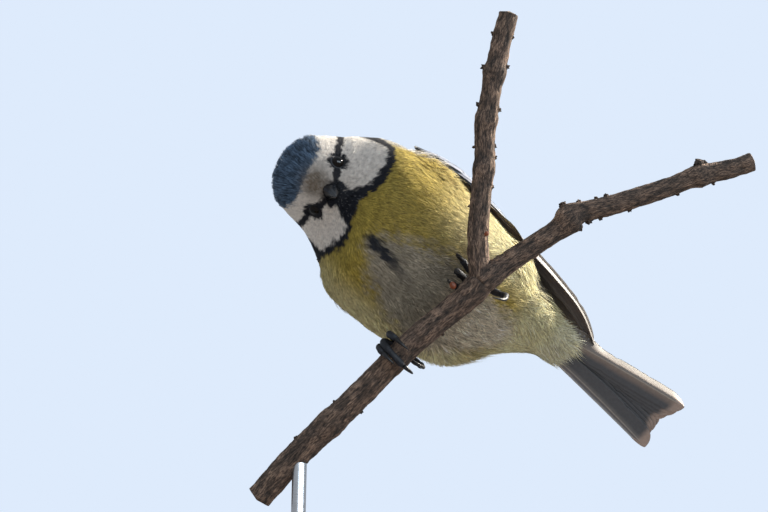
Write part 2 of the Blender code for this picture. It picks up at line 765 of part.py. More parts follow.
def twig_nodes(parts, cutters, material):
    stem = twig_arm("perch_stem", STEM_ROUTE, STEM_RADIUS, 1.0, STEM_SWELLINGS, 1, parts)
    side_solid = twig_arm("perch_side", SIDE_ROUTE, SIDE_RADIUS * 1.06, 0.84, SIDE_SWELLINGS, 2, parts)
    upright = twig_arm("perch_upright", UPRIGHT_ROUTE, UPRIGHT_RADIUS, 0.94, UPRIGHT_SWELLINGS, 3, parts)
    spare_stem = twig_arm("spare_stem", STEM_ROUTE, STEM_RADIUS, 1.0, STEM_SWELLINGS, 1, cutters, GAP)
    cut(side_solid, spare_stem, keep_cutter=True)
    cut(upright, spare_stem)
    spare_side = twig_arm("spare_side", SIDE_ROUTE, SIDE_RADIUS * 1.06, 0.84, SIDE_SWELLINGS, 2,
                          cutters, GAP)
    cut(upright, spare_side)
    for thing in (stem, side_solid, upright):
        keep_largest(thing)
        finish(thing, thing.name, None, material, parts)


# Grips: for each foot the place on the twig's axis, the twig's reach there, where the sole lies
# along the twig, and for each toe its start and its end as (mm along the twig, angle round it, mm
# further out than its neighbours) and how far along the twig its claw's tip lies.
# Angles run from 0 on the twig's front through 90 on its upper left side to 180 behind it.
STEM_DIRECTION = (0.62, -0.29, 0.72)
TOWARD_FRONT = (0.0, -0.906, -0.423)
TOE_RADIUS = 0.9 * MM
TARSUS_RADIUS = 0.85 * MM
CLAW_LENGTH = 3.3 * MM
REAR_CLAW_LENGTH = 4.2 * MM
GRIPS = {
    "right": {
        "place": (2.9, -9.0, 131.0),
        "radius": 3.2,
        "sole": 1.4,
        "toes": {
            "inner": ((0.1, 165, 0.0), (-1.1, 46, 0.0), -1.5),
            "middle": ((1.6, 165, 0.0), (-0.5, -24, 0.0), -0.6),
            "outer": ((2.9, 165, 0.0), (3.1, 42, 0.0), 2.9),
            "rear": ((1.7, 182, 0.0), (2.0, 264, 1.0), 1.8),
        },
        "heel": (-14.0, -7.6, -10.5),
    },
    "left": {
        "place": (20.9, -17.7, 145.1),
        "radius": 3.7,
        "sole": -0.6,
        "toes": {
            "inner": ((-3.2, 165, 0.0), (-3.7, 118, 0.0), -3.8),
            "middle": ((-0.8, 165, 0.2), (-0.9, 96, 0.5), -1.2),
            "outer": ((0.9, 165, 0.4), (2.0, 126, 2.4), 2.1),
            "rear": ((0.3, 185, 0.0), (1.5, 262, 1.3), -0.8),
        },
        "heel": (-15.0, 8.6, -8.5),
    },
}


def round_twig(grip, along, angle, reach):
    """A place beside the twig: along it, round it and out from its axis."""
    axis = unit(np.array(STEM_DIRECTION))
    front = np.array(TOWARD_FRONT)
    front = unit(front - axis * np.dot(front, axis))
    upper = unit(np.cross(front, axis))
    turn = math.radians(angle)
    outward = front * math.cos(turn) + upper * math.sin(turn)
    return np.array(grip["place"]) * MM + axis * along * MM + outward * reach


def leg_nodes(side, body, parts, cutters, materials):
    grip = GRIPS[side]
    reach = grip["radius"] * MM + TOE_RADIUS + GAP
    sole = round_twig(grip, grip["sole"], 176, reach + 0.5 * MM)
    heel = np.array(body.matrix_world @ Vector([v * MM for v in grip["heel"]]))
    shin = smooth_route([heel, heel * 0.5 + sole * 0.5, sole], 2.0 * MM)
    pieces = [tube("tarsus", shin, [TARSUS_RADIUS] * len(shin), None, cutters)]
    pieces.append(ball("foot", sole, [TARSUS_RADIUS * 1.25] * 3, None, cutters, 12, 8))
    for toe, (start, end, claw_tip) in grip["toes"].items():
        count = 9
        route = [sole]
        radii = [TOE_RADIUS]
        for step in range(count):
            t = step / (count - 1)
            along, angle, lift = [a + (b - a) * t for a, b in zip(start, end)]
            joint = 1 + 0.10 * math.cos(t * 3 * 2 * math.pi)
            route.append(round_twig(grip, along, angle, reach + (0.12 + lift) * MM))
            radii.append(TOE_RADIUS * (1.0 - 0.22 * t) * joint)
        pieces.append(tube("toe", route, radii, None, cutters))
        claw_node(side, toe, grip, start, end, claw_tip, reach, parts, materials)
    leg = fuse("leg_" + side, pieces, None, materials["leg"], parts)
    skin = flesh_body("spare_flesh", body, cutters, grow=GAP)
    cut(leg, skin)
    finish(leg, "leg_" + side, None, materials["leg"], parts)


def claw_node(side, toe, grip, toe_start, toe_end, claw_tip, reach, parts, materials):
    """A claw: a tapered hook that carries on round the twig from its toe's end."""
    turn = 1 if toe_end[1] > toe_start[1] else -1
    length = REAR_CLAW_LENGTH if toe == "rear" else CLAW_LENGTH
    first = toe_end[1] + turn * math.degrees((GAP + TOE_RADIUS * 0.5) / reach)
    sweep = turn * math.degrees(length / reach)
    route = []
    radii = []
    count = 7
    for step in range(count):
        t = step / (count - 1)
        arch = 0.10 + toe_end[2] * (1 - 0.5 * t * t) + 0.75 * math.sin(t * math.pi * 0.62) - 0.5 * t ** 3
        along = toe_end[0] + (claw_tip - toe_end[0]) * t
        route.append(round_twig(grip, along, first + sweep * t, reach + arch * MM))
        radii.append(TOE_RADIUS * (0.66 - 0.5 * t ** 1.2))
    name = "claw_" + side + "_" + toe
    claw = tube(name, route, radii, None, parts, bevel_resolution=1)
    finish(claw, name, None, materials["claw"], parts)


# ---------------------------------------------------------------- stand

def stand_nodes(parts, cutters, materials):
    edge = 1.2 * MM
    profile = [(0.0, FOOT_HEIGHT), (FOOT_RADIUS - 4 * edge, FOOT_HEIGHT)]
    for step in range(1, 5):
        angle = math.pi / 2 * step / 4
        profile.append((FOOT_RADIUS - 4 * edge + 4 * edge * math.sin(angle),
                        FOOT_HEIGHT - 4 * edge + 4 * edge * math.cos(angle)))
    profile += [(FOOT_RADIUS, edge), (FOOT_RADIUS - edge, 0.0), (0.0, 0.0)]
    mesh = bpy.data.meshes.new("stand_base")
    mesh.from_pydata([(x, 0, z) for x, z in profile], [(i, i + 1) for i in range(len(profile) - 1)], [])
    base = bpy.data.objects.new("stand_base", mesh)
    parts.objects.link(base)
    screw = base.modifiers.new("Turn", "SCREW")
    screw.steps = 36
    screw.render_steps = 36
    screw.use_merge_vertices = True
    screw.merge_threshold = 0.0001
    apply_modifiers(base)
    face_outward(base)
    finish(base, "stand_base", None, materials["wood"], parts)

    foot = FOOT_HEIGHT + GAP
    bpy.ops.mesh.primitive_cylinder_add(vertices=20, radius=ROD_RADIUS, depth=ROD_TOP - foot,
                                        location=(*ROD_PLACE, (ROD_TOP + foot) / 2))
    rod = bpy.context.object
    spare = twig_arm("spare_stem", STEM_ROUTE, STEM_RADIUS, 1.0, STEM_SWELLINGS, 1, cutters, GAP)
    cut(rod, spare)
    finish(rod, "stand_rod", None, materials["steel"], parts)

    bpy.ops.mesh.primitive_cylinder_add(vertices=28, radius=COLLAR_RADIUS, depth=COLLAR_HEIGHT,
                                        location=(*ROD_PLACE, foot + COLLAR_HEIGHT / 2))
    collar = bpy.context.object
    bpy.ops.mesh.primitive_cylinder_add(vertices=20, radius=ROD_RADIUS + GAP, depth=COLLAR_HEIGHT * 2,
                                        location=(*ROD_PLACE, foot + COLLAR_HEIGHT / 2))
    cut(collar, bpy.context.object)
    finish(collar, "stand_collar", None, materials["steel"], parts)


def make_materials():
    return {
        "yellow": new_material("breast_yellow", (0.62, 0.55, 0.16), 0.85),
        "head": new_material("head_blue_white", (0.55, 0.62, 0.70), 0.85),
        "wing": new_material("wing_blue_grey", (0.20, 0.28, 0.36), 0.75),
        "tail": new_material("tail_grey", (0.18, 0.22, 0.27), 0.75),
        "bill": new_material("bill_black", (0.03, 0.03, 0.035), 0.35),
        "eye": new_material("eye_dark", (0.01, 0.008, 0.006), 0.05),
        "leg": new_material("leg_slate", (0.06, 0.075, 0.10), 0.5),
        "claw": new_material("claw_dark", (0.03, 0.03, 0.035), 0.35),
        "bark": new_material("twig_bark", (0.17, 0.125, 0.10), 0.85),
        "wood": new_material("stand_wood", (0.20, 0.12, 0.07), 0.45),
        "steel": new_material("stand_steel", (0.55, 0.55, 0.56), 0.3, 1.0),
    }


def main():
    clear_scene()
    parts = new_collection("blue_tit")
    cutters = new_collection("cutters")
    materials = make_materials()
    body = new_empty("body_frame", BODY_PLACE, BODY_TURN)
    head = new_empty("head_frame", HEAD_PLACE, HEAD_TURN, body)

    torso_and_neck(body, parts, cutters, materials)
    head_node(flesh_body("head", body, parts), body, head, cutters, parts, materials["head"])
    for side, label in ((1, "eye_left"), (-1, "eye_right")):
        eye = ball(label, eye_centre(side), [EYE_RADIUS] * 3, head, parts, 18, 10)
        finish(eye, label, head, materials["eye"], parts)
    bill_half("bill_upper", True, head, parts, cutters, materials["bill"])
    bill_half("bill_lower", False, head, parts, cutters, materials["bill"])
    tail_node(body, parts, cutters, materials["tail"])
    wing_node("wing_left", LEFT_WING, body, parts, cutters, materials["wing"])
    wing_node("wing_right", RIGHT_WING, body, parts, cutters, materials["wing"])
    twig_nodes(parts, cutters, materials["bark"])
    for side in GRIPS:
        leg_nodes(side, body, parts, cutters, materials)
    stand_nodes(parts, cutters, materials)


main()
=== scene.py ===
"""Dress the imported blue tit: plumage, vanes, horn, scaly feet, bark, stand, light and camera.

The bird is worked out in millimetres in a frame of its own (x forward, y to its left, z out of its
back) and the head in another (x along the bill, y left, z up).  Meshes are written in metres.
"""

import json
import math

import bpy
import numpy as np
from bpy.props import FloatProperty, FloatVectorProperty, IntProperty, PointerProperty
from mathutils import Euler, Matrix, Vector, noise
from mathutils.bvhtree import BVHTree


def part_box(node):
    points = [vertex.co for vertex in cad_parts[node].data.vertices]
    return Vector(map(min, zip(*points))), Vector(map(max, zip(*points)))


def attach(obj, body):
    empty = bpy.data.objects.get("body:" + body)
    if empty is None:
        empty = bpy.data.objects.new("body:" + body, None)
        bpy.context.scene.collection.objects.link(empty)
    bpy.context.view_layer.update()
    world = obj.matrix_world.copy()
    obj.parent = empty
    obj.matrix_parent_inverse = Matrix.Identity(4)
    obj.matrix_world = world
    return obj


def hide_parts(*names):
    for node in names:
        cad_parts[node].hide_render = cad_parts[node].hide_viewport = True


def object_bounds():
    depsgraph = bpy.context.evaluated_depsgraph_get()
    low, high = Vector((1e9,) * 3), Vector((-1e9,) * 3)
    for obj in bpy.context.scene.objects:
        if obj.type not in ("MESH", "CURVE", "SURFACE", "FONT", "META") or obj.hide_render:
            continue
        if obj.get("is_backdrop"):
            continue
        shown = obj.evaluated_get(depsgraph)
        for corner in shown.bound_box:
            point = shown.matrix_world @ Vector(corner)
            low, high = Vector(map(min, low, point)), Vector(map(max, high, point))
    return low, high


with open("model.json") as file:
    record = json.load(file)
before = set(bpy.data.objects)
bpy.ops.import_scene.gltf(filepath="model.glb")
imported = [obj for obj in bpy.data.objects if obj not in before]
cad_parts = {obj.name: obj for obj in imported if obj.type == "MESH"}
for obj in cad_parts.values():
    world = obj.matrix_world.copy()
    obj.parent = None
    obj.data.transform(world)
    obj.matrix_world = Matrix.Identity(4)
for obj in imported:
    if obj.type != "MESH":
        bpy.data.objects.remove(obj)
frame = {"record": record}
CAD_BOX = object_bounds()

bl_info = {
    "name": "Blue Tit Dressing",
    "version": (1, 0, 0),
    "blender": (4, 5, 0),
    "location": "3D View > Sidebar > Blue Tit",
    "description": "Plumage, horn, bark and a plain stage for a still blue tit on a twig",
    "category": "Object",
}

MM = 0.001
TAU = 2 * math.pi
FINISHES = {row["slot"]: tuple(row["base_color"][:3]) for row in frame["record"]["materials"]}

# Where the bird and its head sit, as in the solids: place and turn in degrees.
BODY_PLACE, BODY_TURN = np.array((7.3, 0.3, 159.4)), (36.6, -27.0, -150.3)
HEAD_PLACE, HEAD_TURN = np.array((28.4, 3.0, -7.7)), (102.6, 76.5, 90.1)

# Body sections: forward, left, up, half width, height of the back, depth of the belly.  The first
# two are a sleeve of coverts round the root of the tail, with no skin under it.
SLEEVE_SECTIONS = 2
TORSO_SECTIONS = (
    (-55.0, 5.0, 1.5, 4.6, 1.0, 1.3), (-48.5, 4.7, 2.1, 4.8, 1.7, 2.2),
    (-42.0, 4.3, 2.5, 5.0, 2.4, 3.2), (-37.0, 4.0, 2.5, 5.4, 3.6, 4.4),
    (-30.5, 3.0, 2.2, 9.2, 6.8, 7.8), (-25.2, 1.5, 1.7, 12.6, 9.6, 10.8),
    (-20.4, 0.5, 1.1, 15.7, 12.1, 13.4), (-14.4, -0.1, 0.5, 17.9, 14.7, 15.6),
    (-8.4, -0.3, 0.2, 18.8, 16.8, 16.9), (-2.4, -0.4, 0.0, 19.3, 18.0, 17.6),
    (3.6, -0.1, 0.0, 19.4, 18.3, 18.0), (10.2, 0.2, -0.3, 19.5, 17.3, 17.8),
    (16.0, 0.4, -0.8, 18.7, 15.2, 16.2),
)
# Head sections: up, left, half width, forward place of the widest point, depth behind it, depth
# before it, roundness.
HEAD_SECTIONS = (
    (-8.0, -1.8, 16.5, -8.2, 11.2, 13.2, 1.95), (-4.5, -0.8, 14.2, -8.5, 9.2, 11.6, 1.75),
    (-1.8, -0.3, 12.6, -8.5, 7.9, 12.3, 1.55), (0.0, -0.3, 11.6, -8.5, 7.3, 12.4, 1.50),
    (2.3, -0.3, 10.7, -8.4, 7.0, 12.0, 1.50), (5.0, -0.3, 9.6, -8.0, 6.8, 10.5, 1.60),
    (8.0, -0.3, 7.7, -7.2, 6.0, 7.6, 1.80), (10.3, -0.3, 4.7, -6.3, 4.0, 4.4, 2.00),
    (11.2, -0.3, 1.5, -6.0, 1.3, 1.4, 2.00),
)
TURN_START, TURN_END = 0.0, 22.0
RINGS_PER_SECTION = 8
HEAD_AXIS_BACK = 8.5

# Eyes and bill, in the head's frame.
EYE_RADIUS, EYE_DEPTH, EYE_OPENING = 1.80, 1.2, 1.9
EYE_SPOTS = np.array(((0.0, 6.25, 0.1), (0.0, -6.25, 0.1)))
EYE_LOOKS = np.array(((0.66, 0.75, 0.05), (0.66, -0.75, 0.05)))
BILL_BASE, BILL_TIP, BILL_SIDE = 2.7, 10.0, -0.4
BILL_GAPE, BILL_GAPE_DROP, BILL_HALF_WIDTH = -1.05, 0.5, 1.95
CULMEN_HEIGHT, GONYS_DEPTH, LOWER_BILL_SHORT = 1.95, 1.85, 0.6
BILL_ROOT = np.array((BILL_BASE, BILL_SIDE, BILL_GAPE))

# Tail: the line of its middle, and how its feathers fan.
TAIL_ROOT = np.array((-25.0, 3.0, 3.3))
TAIL_MIDDLE = np.array((-48.0, 4.6, 2.2))
TAIL_END = np.array((-73.0, 5.5, -0.7))
TAIL_FEATHERS, TAIL_FEATHER_WIDTH = 12, 5.2
TAIL_ROOT_SPREAD, TAIL_END_SPREAD = 1.2, 5.6
TAIL_FORK, TAIL_LENGTH, TAIL_STEP = 1.5, 48, 0.26

# Wing sheets: forward, then left and up of the outer edge, then of the edge on the back, and swell.
LEFT_WING = (
    (13.0, 19.3, 7.8, 10.6, 16.8, 3.1), (6.0, 20.7, 6.2, 9.2, 18.9, 3.9),
    (0.0, 21.0, 5.4, 8.0, 19.7, 4.4), (-10.0, 20.0, 4.8, 6.6, 18.9, 4.0),
    (-20.0, 18.3, 4.9, 6.0, 16.3, 3.0), (-30.0, 16.3, 5.2, 5.6, 13.2, 2.0),
    (-40.0, 13.8, 5.0, 6.2, 9.9, 1.0), (-51.0, 8.8, 4.9, 7.2, 6.6, 0.3),
)
RIGHT_WING = (
    (13.0, -18.6, 8.2, -8.2, 16.8, 3.1), (6.0, -20.3, 6.6, -7.2, 18.9, 3.9),
    (0.0, -20.4, 5.6, -6.2, 19.7, 4.4), (-10.0, -18.7, 7.0, -4.2, 19.4, 3.8),
    (-20.0, -13.6, 10.2, -1.2, 17.4, 2.6), (-30.0, -6.6, 12.4, 0.6, 15.2, 1.5),
    (-40.0, -2.4, 11.8, 1.6, 12.8, 0.8), (-51.0, 0.6, 9.6, 1.6, 10.0, 0.3),
)
WING_SHOULDER_SLOPE = 8.0
FEATHER_ROLL = math.radians(8.0)
CORE_LEVEL = -0.5

# Twig arms from the fork, in the world: piece, node, route, radius, taper, swellings (place,
# height, spread), stubs and leaf scars (share along it, which edge, height).
FORK = (21.3, -17.6, 145.6)
TWIG_ARMS = (
    ("twig_stem", "perch_stem",
     ((-27.6, 4.4, 103.2), (-18.4, 0.1, 112.4), (-7.1, -4.4, 122.1), (5.6, -10.2, 133.4),
      (18.4, -15.9, 142.8), FORK), 2.95, 1.0,
     ((0.33, 0.35, 0.04), (0.97, 0.2, 0.05)),
     ((0.39, 1, 0.4), (0.43, -1, 0.4), (0.22, 1, 0.35), (0.80, -1, 0.4))),
    ("twig_side", "perch_side",
     (FORK, (25.9, -19.0, 148.6), (32.1, -20.7, 152.3), (38.7, -22.5, 156.3),
      (42.4, -23.8, 159.1), (48.5, -24.5, 160.5), (54.3, -25.2, 162.0), (61.3, -26.2, 164.0),
      (68.6, -27.3, 166.5), (75.8, -28.0, 168.0), (80.9, -28.7, 169.4)), 2.35 * 1.06, 0.84,
     ((0.02, 0.7, 0.05), (0.36, 1.1, 0.035), (0.82, 0.5, 0.03)),
     ((0.372, 1, 0.9), (0.412, 1, 0.45), (0.464, 1, 0.5), (0.50, 1, 0.55), (0.423, -1, 0.9),
      (0.37, -1, 0.45), (0.469, -1, 0.5), (0.562, -1, 0.45), (0.727, -1, 0.55),
      (0.856, -1, 0.5), (0.828, 1, 1.2), (0.842, 1, 0.8))),
    ("twig_upright", "perch_upright",
     (FORK, (20.6, -21.3, 151.5), (20.8, -24.5, 158.0), (22.0, -29.5, 168.9),
      (22.3, -33.0, 176.3), (25.1, -39.6, 190.5), (27.3, -43.3, 198.3)), 2.38, 0.94,
     ((0.02, 0.2, 0.06), (0.42, 0.35, 0.03), (0.60, 0.35, 0.03), (0.78, 0.45, 0.03)),
     ((0.914, 1, 0.45), (0.925, -1, 0.4), (0.793, 1, 0.65), (0.805, -1, 0.55), (0.655, 1, 0.45),
      (0.649, -1, 0.55), (0.50, 1, 0.4), (0.50, -1, 0.45), (0.46, -1, 0.4), (0.36, -1, 0.45),
      (0.28, 1, 0.35))),
)
# Buds: place, way out of the twig, way along it, length.
BUDS = (
    ((15.2, -18.7, 143.3), (-0.5, -0.9, 0.25), (0.3, -0.2, 0.9), 1.9),
    ((22.1, -24.5, 153.4), (0.5, -0.9, 0.0), (0.1, -0.4, 0.9), 1.3),
)

# Grips: the place on the twig's axis, its reach there, where the sole lies along it, and for each
# toe its start and end (along the twig, angle round it, lift) and where its claw's tip lies.
STEM_DIRECTION = (0.62, -0.29, 0.72)
TOWARD_FRONT = (0.0, -0.906, -0.423)
TOE_RADIUS, TARSUS_RADIUS, SOLE_GAP = 0.9, 0.85, 0.3
CLAW_LENGTH, REAR_CLAW_LENGTH = 3.3, 4.2
GRIPS = {
    "right": {
        "place": (2.9, -9.0, 131.0), "radius": 3.2, "sole": 1.4, "heel": (-14.0, -7.6, -10.5),
        "toes": {
            "inner": ((0.1, 165, 0.0), (-1.1, 46, 0.0), -1.5),
            "middle": ((1.6, 165, 0.0), (-0.5, -24, 0.0), -0.6),
            "outer": ((2.9, 165, 0.0), (3.1, 42, 0.0), 2.9),
            "rear": ((1.7, 182, 0.0), (2.0, 264, 1.0), 1.8),
        },
    },
    "left": {
        "place": (20.9, -17.7, 145.1), "radius": 3.7, "sole": -0.6, "heel": (-15.0, 8.6, -8.5),
        "toes": {
            "inner": ((-3.2, 165, 0.0), (-3.7, 118, 0.0), -3.8),
            "middle": ((-0.8, 165, 0.2), (-0.9, 96, 0.5), -1.2),
            "outer": ((0.9, 165, 0.4), (2.0, 126, 2.4), 2.1),
            "rear": ((0.3, 185, 0.0), (1.5, 262, 1.3), -0.8),
        },
    },
}

# Stand, and the camera (place in metres, tilt and lens).
FOOT_RADIUS, FOOT_HEIGHT = 60.0, 9.0
ROD_PLACE, ROD_RADIUS = np.array((-18.6, 0.2, 0.0)), 1.6
COLLAR_RADIUS, COLLAR_HEIGHT = 5.0, 6.0
CAMERA_PLACE, CAMERA_TILT, CAMERA_LENS = (0.0, -0.30814, 0.01631), 115.0, 67.82
SOFT_BOX_PLACE, SOFT_BOX_FROM = (0.27, -0.41, 0.21), (0.56, -0.82, 0.10)
SOFT_BOX_WIDE, SOFT_BOX_HIGH = 0.60, 0.26
FLOOR_HALF, FLOOR_LINES = 1.6, 41


# ---------------------------------------------------------------- small tools

def sampled(stations, at):
    """Smooth values of a table of stations, whose first column rises or falls steadily."""
    table = np.array(sorted(stations), dtype=float)
    key, value = table[:, 0], table[:, 1:]
    slope = np.gradient(value, key, axis=0)
    spot = np.clip(np.atleast_1d(np.asarray(at, dtype=float)), key[0], key[-1])
    low = np.clip(np.searchsorted(key, spot, side="right") - 1, 0, len(key) - 2)
    width = (key[low + 1] - key[low])[:, None]
    t = (spot - key[low])[:, None] / width
    return ((2 * t ** 3 - 3 * t ** 2 + 1) * value[low]
            + (t ** 3 - 2 * t ** 2 + t) * width * slope[low]
            + (3 * t ** 2 - 2 * t ** 3) * value[low + 1]
            + (t ** 3 - t ** 2) * width * slope[low + 1])


def unit(vectors):
    """Unit vectors along the last axis."""
    vectors = np.asarray(vectors, dtype=float)
    return vectors / np.maximum(np.linalg.norm(vectors, axis=-1, keepdims=True), 1e-12)


def ease(value, low, high):
    """0 below low, 1 above high, smooth between."""
    t = np.clip((value - low) / (high - low), 0, 1)
    return t * t * (3 - 2 * t)


def mix(first, second, share):
    """Blend two colours, or rows of them, by a share per row."""
    share = np.asarray(share)[:, None]
    return first * (1 - share) + second * share


def turn_matrix(degrees):
    return np.array(Euler([math.radians(angle) for angle in degrees]).to_matrix())


BODY_AXES, HEAD_AXES = turn_matrix(BODY_TURN), turn_matrix(HEAD_TURN)


def to_world(points):
    """World places in metres of places in the body's frame in mm."""
    return (np.asarray(points) @ BODY_AXES.T + BODY_PLACE) * MM


def to_head(points):
    return (points - HEAD_PLACE) @ HEAD_AXES


def head_to_world(points):
    return to_world(np.asarray(points) @ HEAD_AXES.T + HEAD_PLACE)


def ripple(points, pitch, seed, waves=9):
    """Smooth unevenness between about -1 and 1, with bumps about pitch mm apart."""
    vary = np.random.default_rng(seed)
    total = np.zeros(len(points))
    for _ in range(waves):
        way = unit(vary.normal(size=3)) * TAU / (pitch * vary.uniform(0.7, 1.5))
        total += np.sin(points @ way + vary.uniform(0, 6.3))
    return total / math.sqrt(waves)


def run_along(route):
    """The length of a route up to each of its points."""
    return np.concatenate(([0.0], np.cumsum(np.linalg.norm(np.diff(route, axis=0), axis=1))))


def smooth_route(points, step):
    """Points at even steps along a smooth curve through the given ones."""
    stations = [(index, *place) for index, place in enumerate(np.array(points, dtype=float))]
    fine = sampled(stations, np.linspace(0, len(points) - 1, 600))
    runs = run_along(fine)
    marks = np.linspace(0, runs[-1], max(2, int(round(runs[-1] / step)) + 1))
    return np.stack([np.interp(marks, runs, fine[:, axis]) for axis in range(3)], axis=1)


def grid_faces(rows, columns, wrap=False):
    """Quads of a grid of points, closed round its columns where wrap is true."""
    row, column = np.meshgrid(np.arange(rows - 1), np.arange(columns - (not wrap)), indexing="ij")
    after = (column + 1) % columns
    low = row * columns
    return np.stack([low + column, low + after, low + columns + after, low + columns + column],
                    axis=-1).reshape(-1, 4)


def closed_grid(rows, sides):
    """Faces of a wrapped grid whose ends are closed on the two points that follow it."""
    base = rows * sides
    faces = grid_faces(rows, sides, wrap=True).tolist()
    for step in range(sides):
        after = (step + 1) % sides
        faces += [(base, after, step), (base + 1, base - sides + step, base - sides + after)]
    return faces


def round_angles(sides):
    return np.linspace(0, TAU, sides, endpoint=False)


def carried_frames(route, hint):
    """Tangents and a pair of cross directions that don't twist along a route."""
    tangents = unit(np.gradient(route, axis=0))
    first = []
    last = np.asarray(hint, dtype=float)
    for tangent in tangents:
        last = last - tangent * np.dot(last, tangent)
        last = last / np.linalg.norm(last)
        first.append(last)
    return tangents, np.array(first), np.cross(tangents, first)


def limb(route, radii, sides=20, hint=(0.0, 0.0, 1.0), shape=None):
    """Points, faces and grain of a round limb; shape scales its radius by row and angle."""
    route = np.asarray(route, dtype=float)
    tangents, first, second = carried_frames(route, hint)
    angles = round_angles(sides)
    run = run_along(route)[:, None]
    reach = np.repeat(np.asarray(radii, dtype=float)[:, None], sides, axis=1)
    ends = reach[0, 0], reach[-1, 0]
    if shape is not None:
        reach = reach * shape(run, angles[None, :])
    flat, tall = reach * np.cos(angles), reach * np.sin(angles)
    points = (route[:, None] + first[:, None] * flat[..., None] + second[:, None] * tall[..., None])
    points = np.concatenate([points.reshape(-1, 3), route[:1] - tangents[:1] * ends[0] * 0.3,
                             route[-1:] + tangents[-1:] * ends[1] * 0.3])
    grain = np.stack([flat, tall, np.repeat(run, sides, axis=1)], axis=-1).reshape(-1, 3)
    grain = np.concatenate([grain, [(0, 0, run[0, 0])], [(0, 0, run[-1, 0])]])
    return points, closed_grid(len(route), sides), grain


def lathe(profile, sides):
    """Points and faces of a closed turned form; the profile runs from axis to axis."""
    angles = round_angles(sides)
    profile = np.asarray(profile, dtype=float)
    rings = profile[1:-1]
    points = np.stack([rings[:, :1] * np.cos(angles), rings[:, :1] * np.sin(angles),
                       np.repeat(rings[:, 1:], sides, axis=1)], axis=-1).reshape(-1, 3)
    points = np.concatenate([points, [(0, 0, profile[0, 1])], [(0, 0, profile[-1, 1])]])
    return points, closed_grid(len(rings), sides)


def filled(layer, key, values, kind=np.float32):
    layer.foreach_set(key, np.asarray(values).astype(kind).ravel())


class Bag:
    """Gathers the points, faces, grain and colours of one mesh."""

    def __init__(self):
        self.points, self.faces, self.grain, self.tints = [], [], [], []
        self.count = 0

    def add(self, points, faces, grain=None, tints=(1, 1, 1)):
        points = np.asarray(points, dtype=float)
        self.points.append(points)
        self.grain.append(points if grain is None else grain)
        self.tints.append(np.broadcast_to(np.asarray(tints, dtype=float), (len(points), 3)))
        self.faces += [[int(v) + self.count for v in face] for face in faces]
        self.count += len(points)

    def build(self, name, material, slot, nodes, place=lambda points: points * MM):
        """Write the mesh, dress it, and hand it to the model."""
        mesh = bpy.data.meshes.new(name)
        mesh.from_pydata(place(np.concatenate(self.points)).tolist(), [], self.faces)
        write_colour(mesh, np.concatenate(self.tints))
        grain = mesh.attributes.new("grain", "FLOAT_VECTOR", "POINT")
        filled(grain.data, "vector", np.concatenate(self.grain))
        mesh.shade_smooth()
        hand_over(name, mesh, material, slot, nodes)


def write_colour(mesh, tints):
    full = np.concatenate([np.clip(tints, 0, 1), np.ones((len(tints), 1))], axis=1)
    filled(mesh.color_attributes.new("plumage", "FLOAT_COLOR", "POINT").data, "color", full)


def hand_over(name, mesh, material, slot, nodes):
    """Make the object of a mesh, ride it on the model's body and hide the solids it stands for."""
    piece = bpy.data.objects.new(name, mesh)
    mesh.materials.append(material)
    bpy.context.scene.collection.objects.link(piece)
    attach(piece, "root")
    if nodes:
        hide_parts(*nodes)


# ---------------------------------------------------------------- materials

class Wires:
    """Short ways to wire a node tree."""

    def __init__(self, tree):
        self.tree = tree

    def node(self, kind, feeds=(), **settings):
        """A new node with its values set by name and its sockets fed by others."""
        node = self.tree.nodes.new("ShaderNode" + kind)
        for key, value in settings.items():
            if key.replace("_", " ") in node.inputs:
                node.inputs[key.replace("_", " ")].default_value = value
            else:
                setattr(node, key, value)
        for socket, source in dict(feeds).items():
            self.tree.links.new(source, node.inputs[socket])
        return node

    def place(self):
        return self.node("TexCoord").outputs["Object"]

    def tint(self):
        return self.node("Attribute", attribute_name="plumage").outputs["Color"]

    def stretched(self, scale, source=None):
        """Coordinates, by default those of the grain, scaled along each axis."""
        source = source or self.node("Attribute", attribute_name="grain").outputs["Vector"]
        return self.node("Mapping", {"Vector": source}, Scale=scale).outputs["Vector"]

    def noise(self, vector, scale=1.0, detail=3.0, roughness=0.55):
        return self.node("TexNoise", {"Vector": vector}, Scale=scale, Detail=detail,
                         Roughness=roughness).outputs["Fac"]

    def ranged(self, value, out_low, out_high, low=0.3, high=0.7):
        return self.node("MapRange", {"Value": value}, From_Min=low, From_Max=high,
                         To_Min=out_low, To_Max=out_high).outputs["Result"]

    def shaded(self, colour, factor):
        """A colour multiplied by a grey factor."""
        return self.node("VectorMath", {0: colour, "Scale": factor},
                         operation="SCALE").outputs["Vector"]

    def ramp(self, value, first, last, low=0.0, high=1.0):
        node = self.node("ValToRGB", {"Fac": value})
        for stop, colour, place in zip(node.color_ramp.elements, (first, last), (low, high)):
            stop.color = (*colour, 1)
            stop.position = place
        return node.outputs["Color"]


class Recipe(Wires):
    """A Principled material; the sockets given by name hold the same value all over."""

    def __init__(self, name, roughness, **sockets):
        self.material = bpy.data.materials.new(name)
        self.material.use_nodes = True
        super().__init__(self.material.node_tree)
        self.shader = self.tree.nodes["Principled BSDF"]
        for socket, value in dict(sockets, Roughness=roughness).items():
            self.shader.inputs[socket.replace("_", " ")].default_value = value

    def feed(self, socket, source):
        self.tree.links.new(source, self.shader.inputs[socket])

    def bumped(self, height, strength, distance):
        self.feed("Normal", self.node("Bump", {"Height": height}, Strength=strength,
                                      Distance=distance).outputs["Normal"])


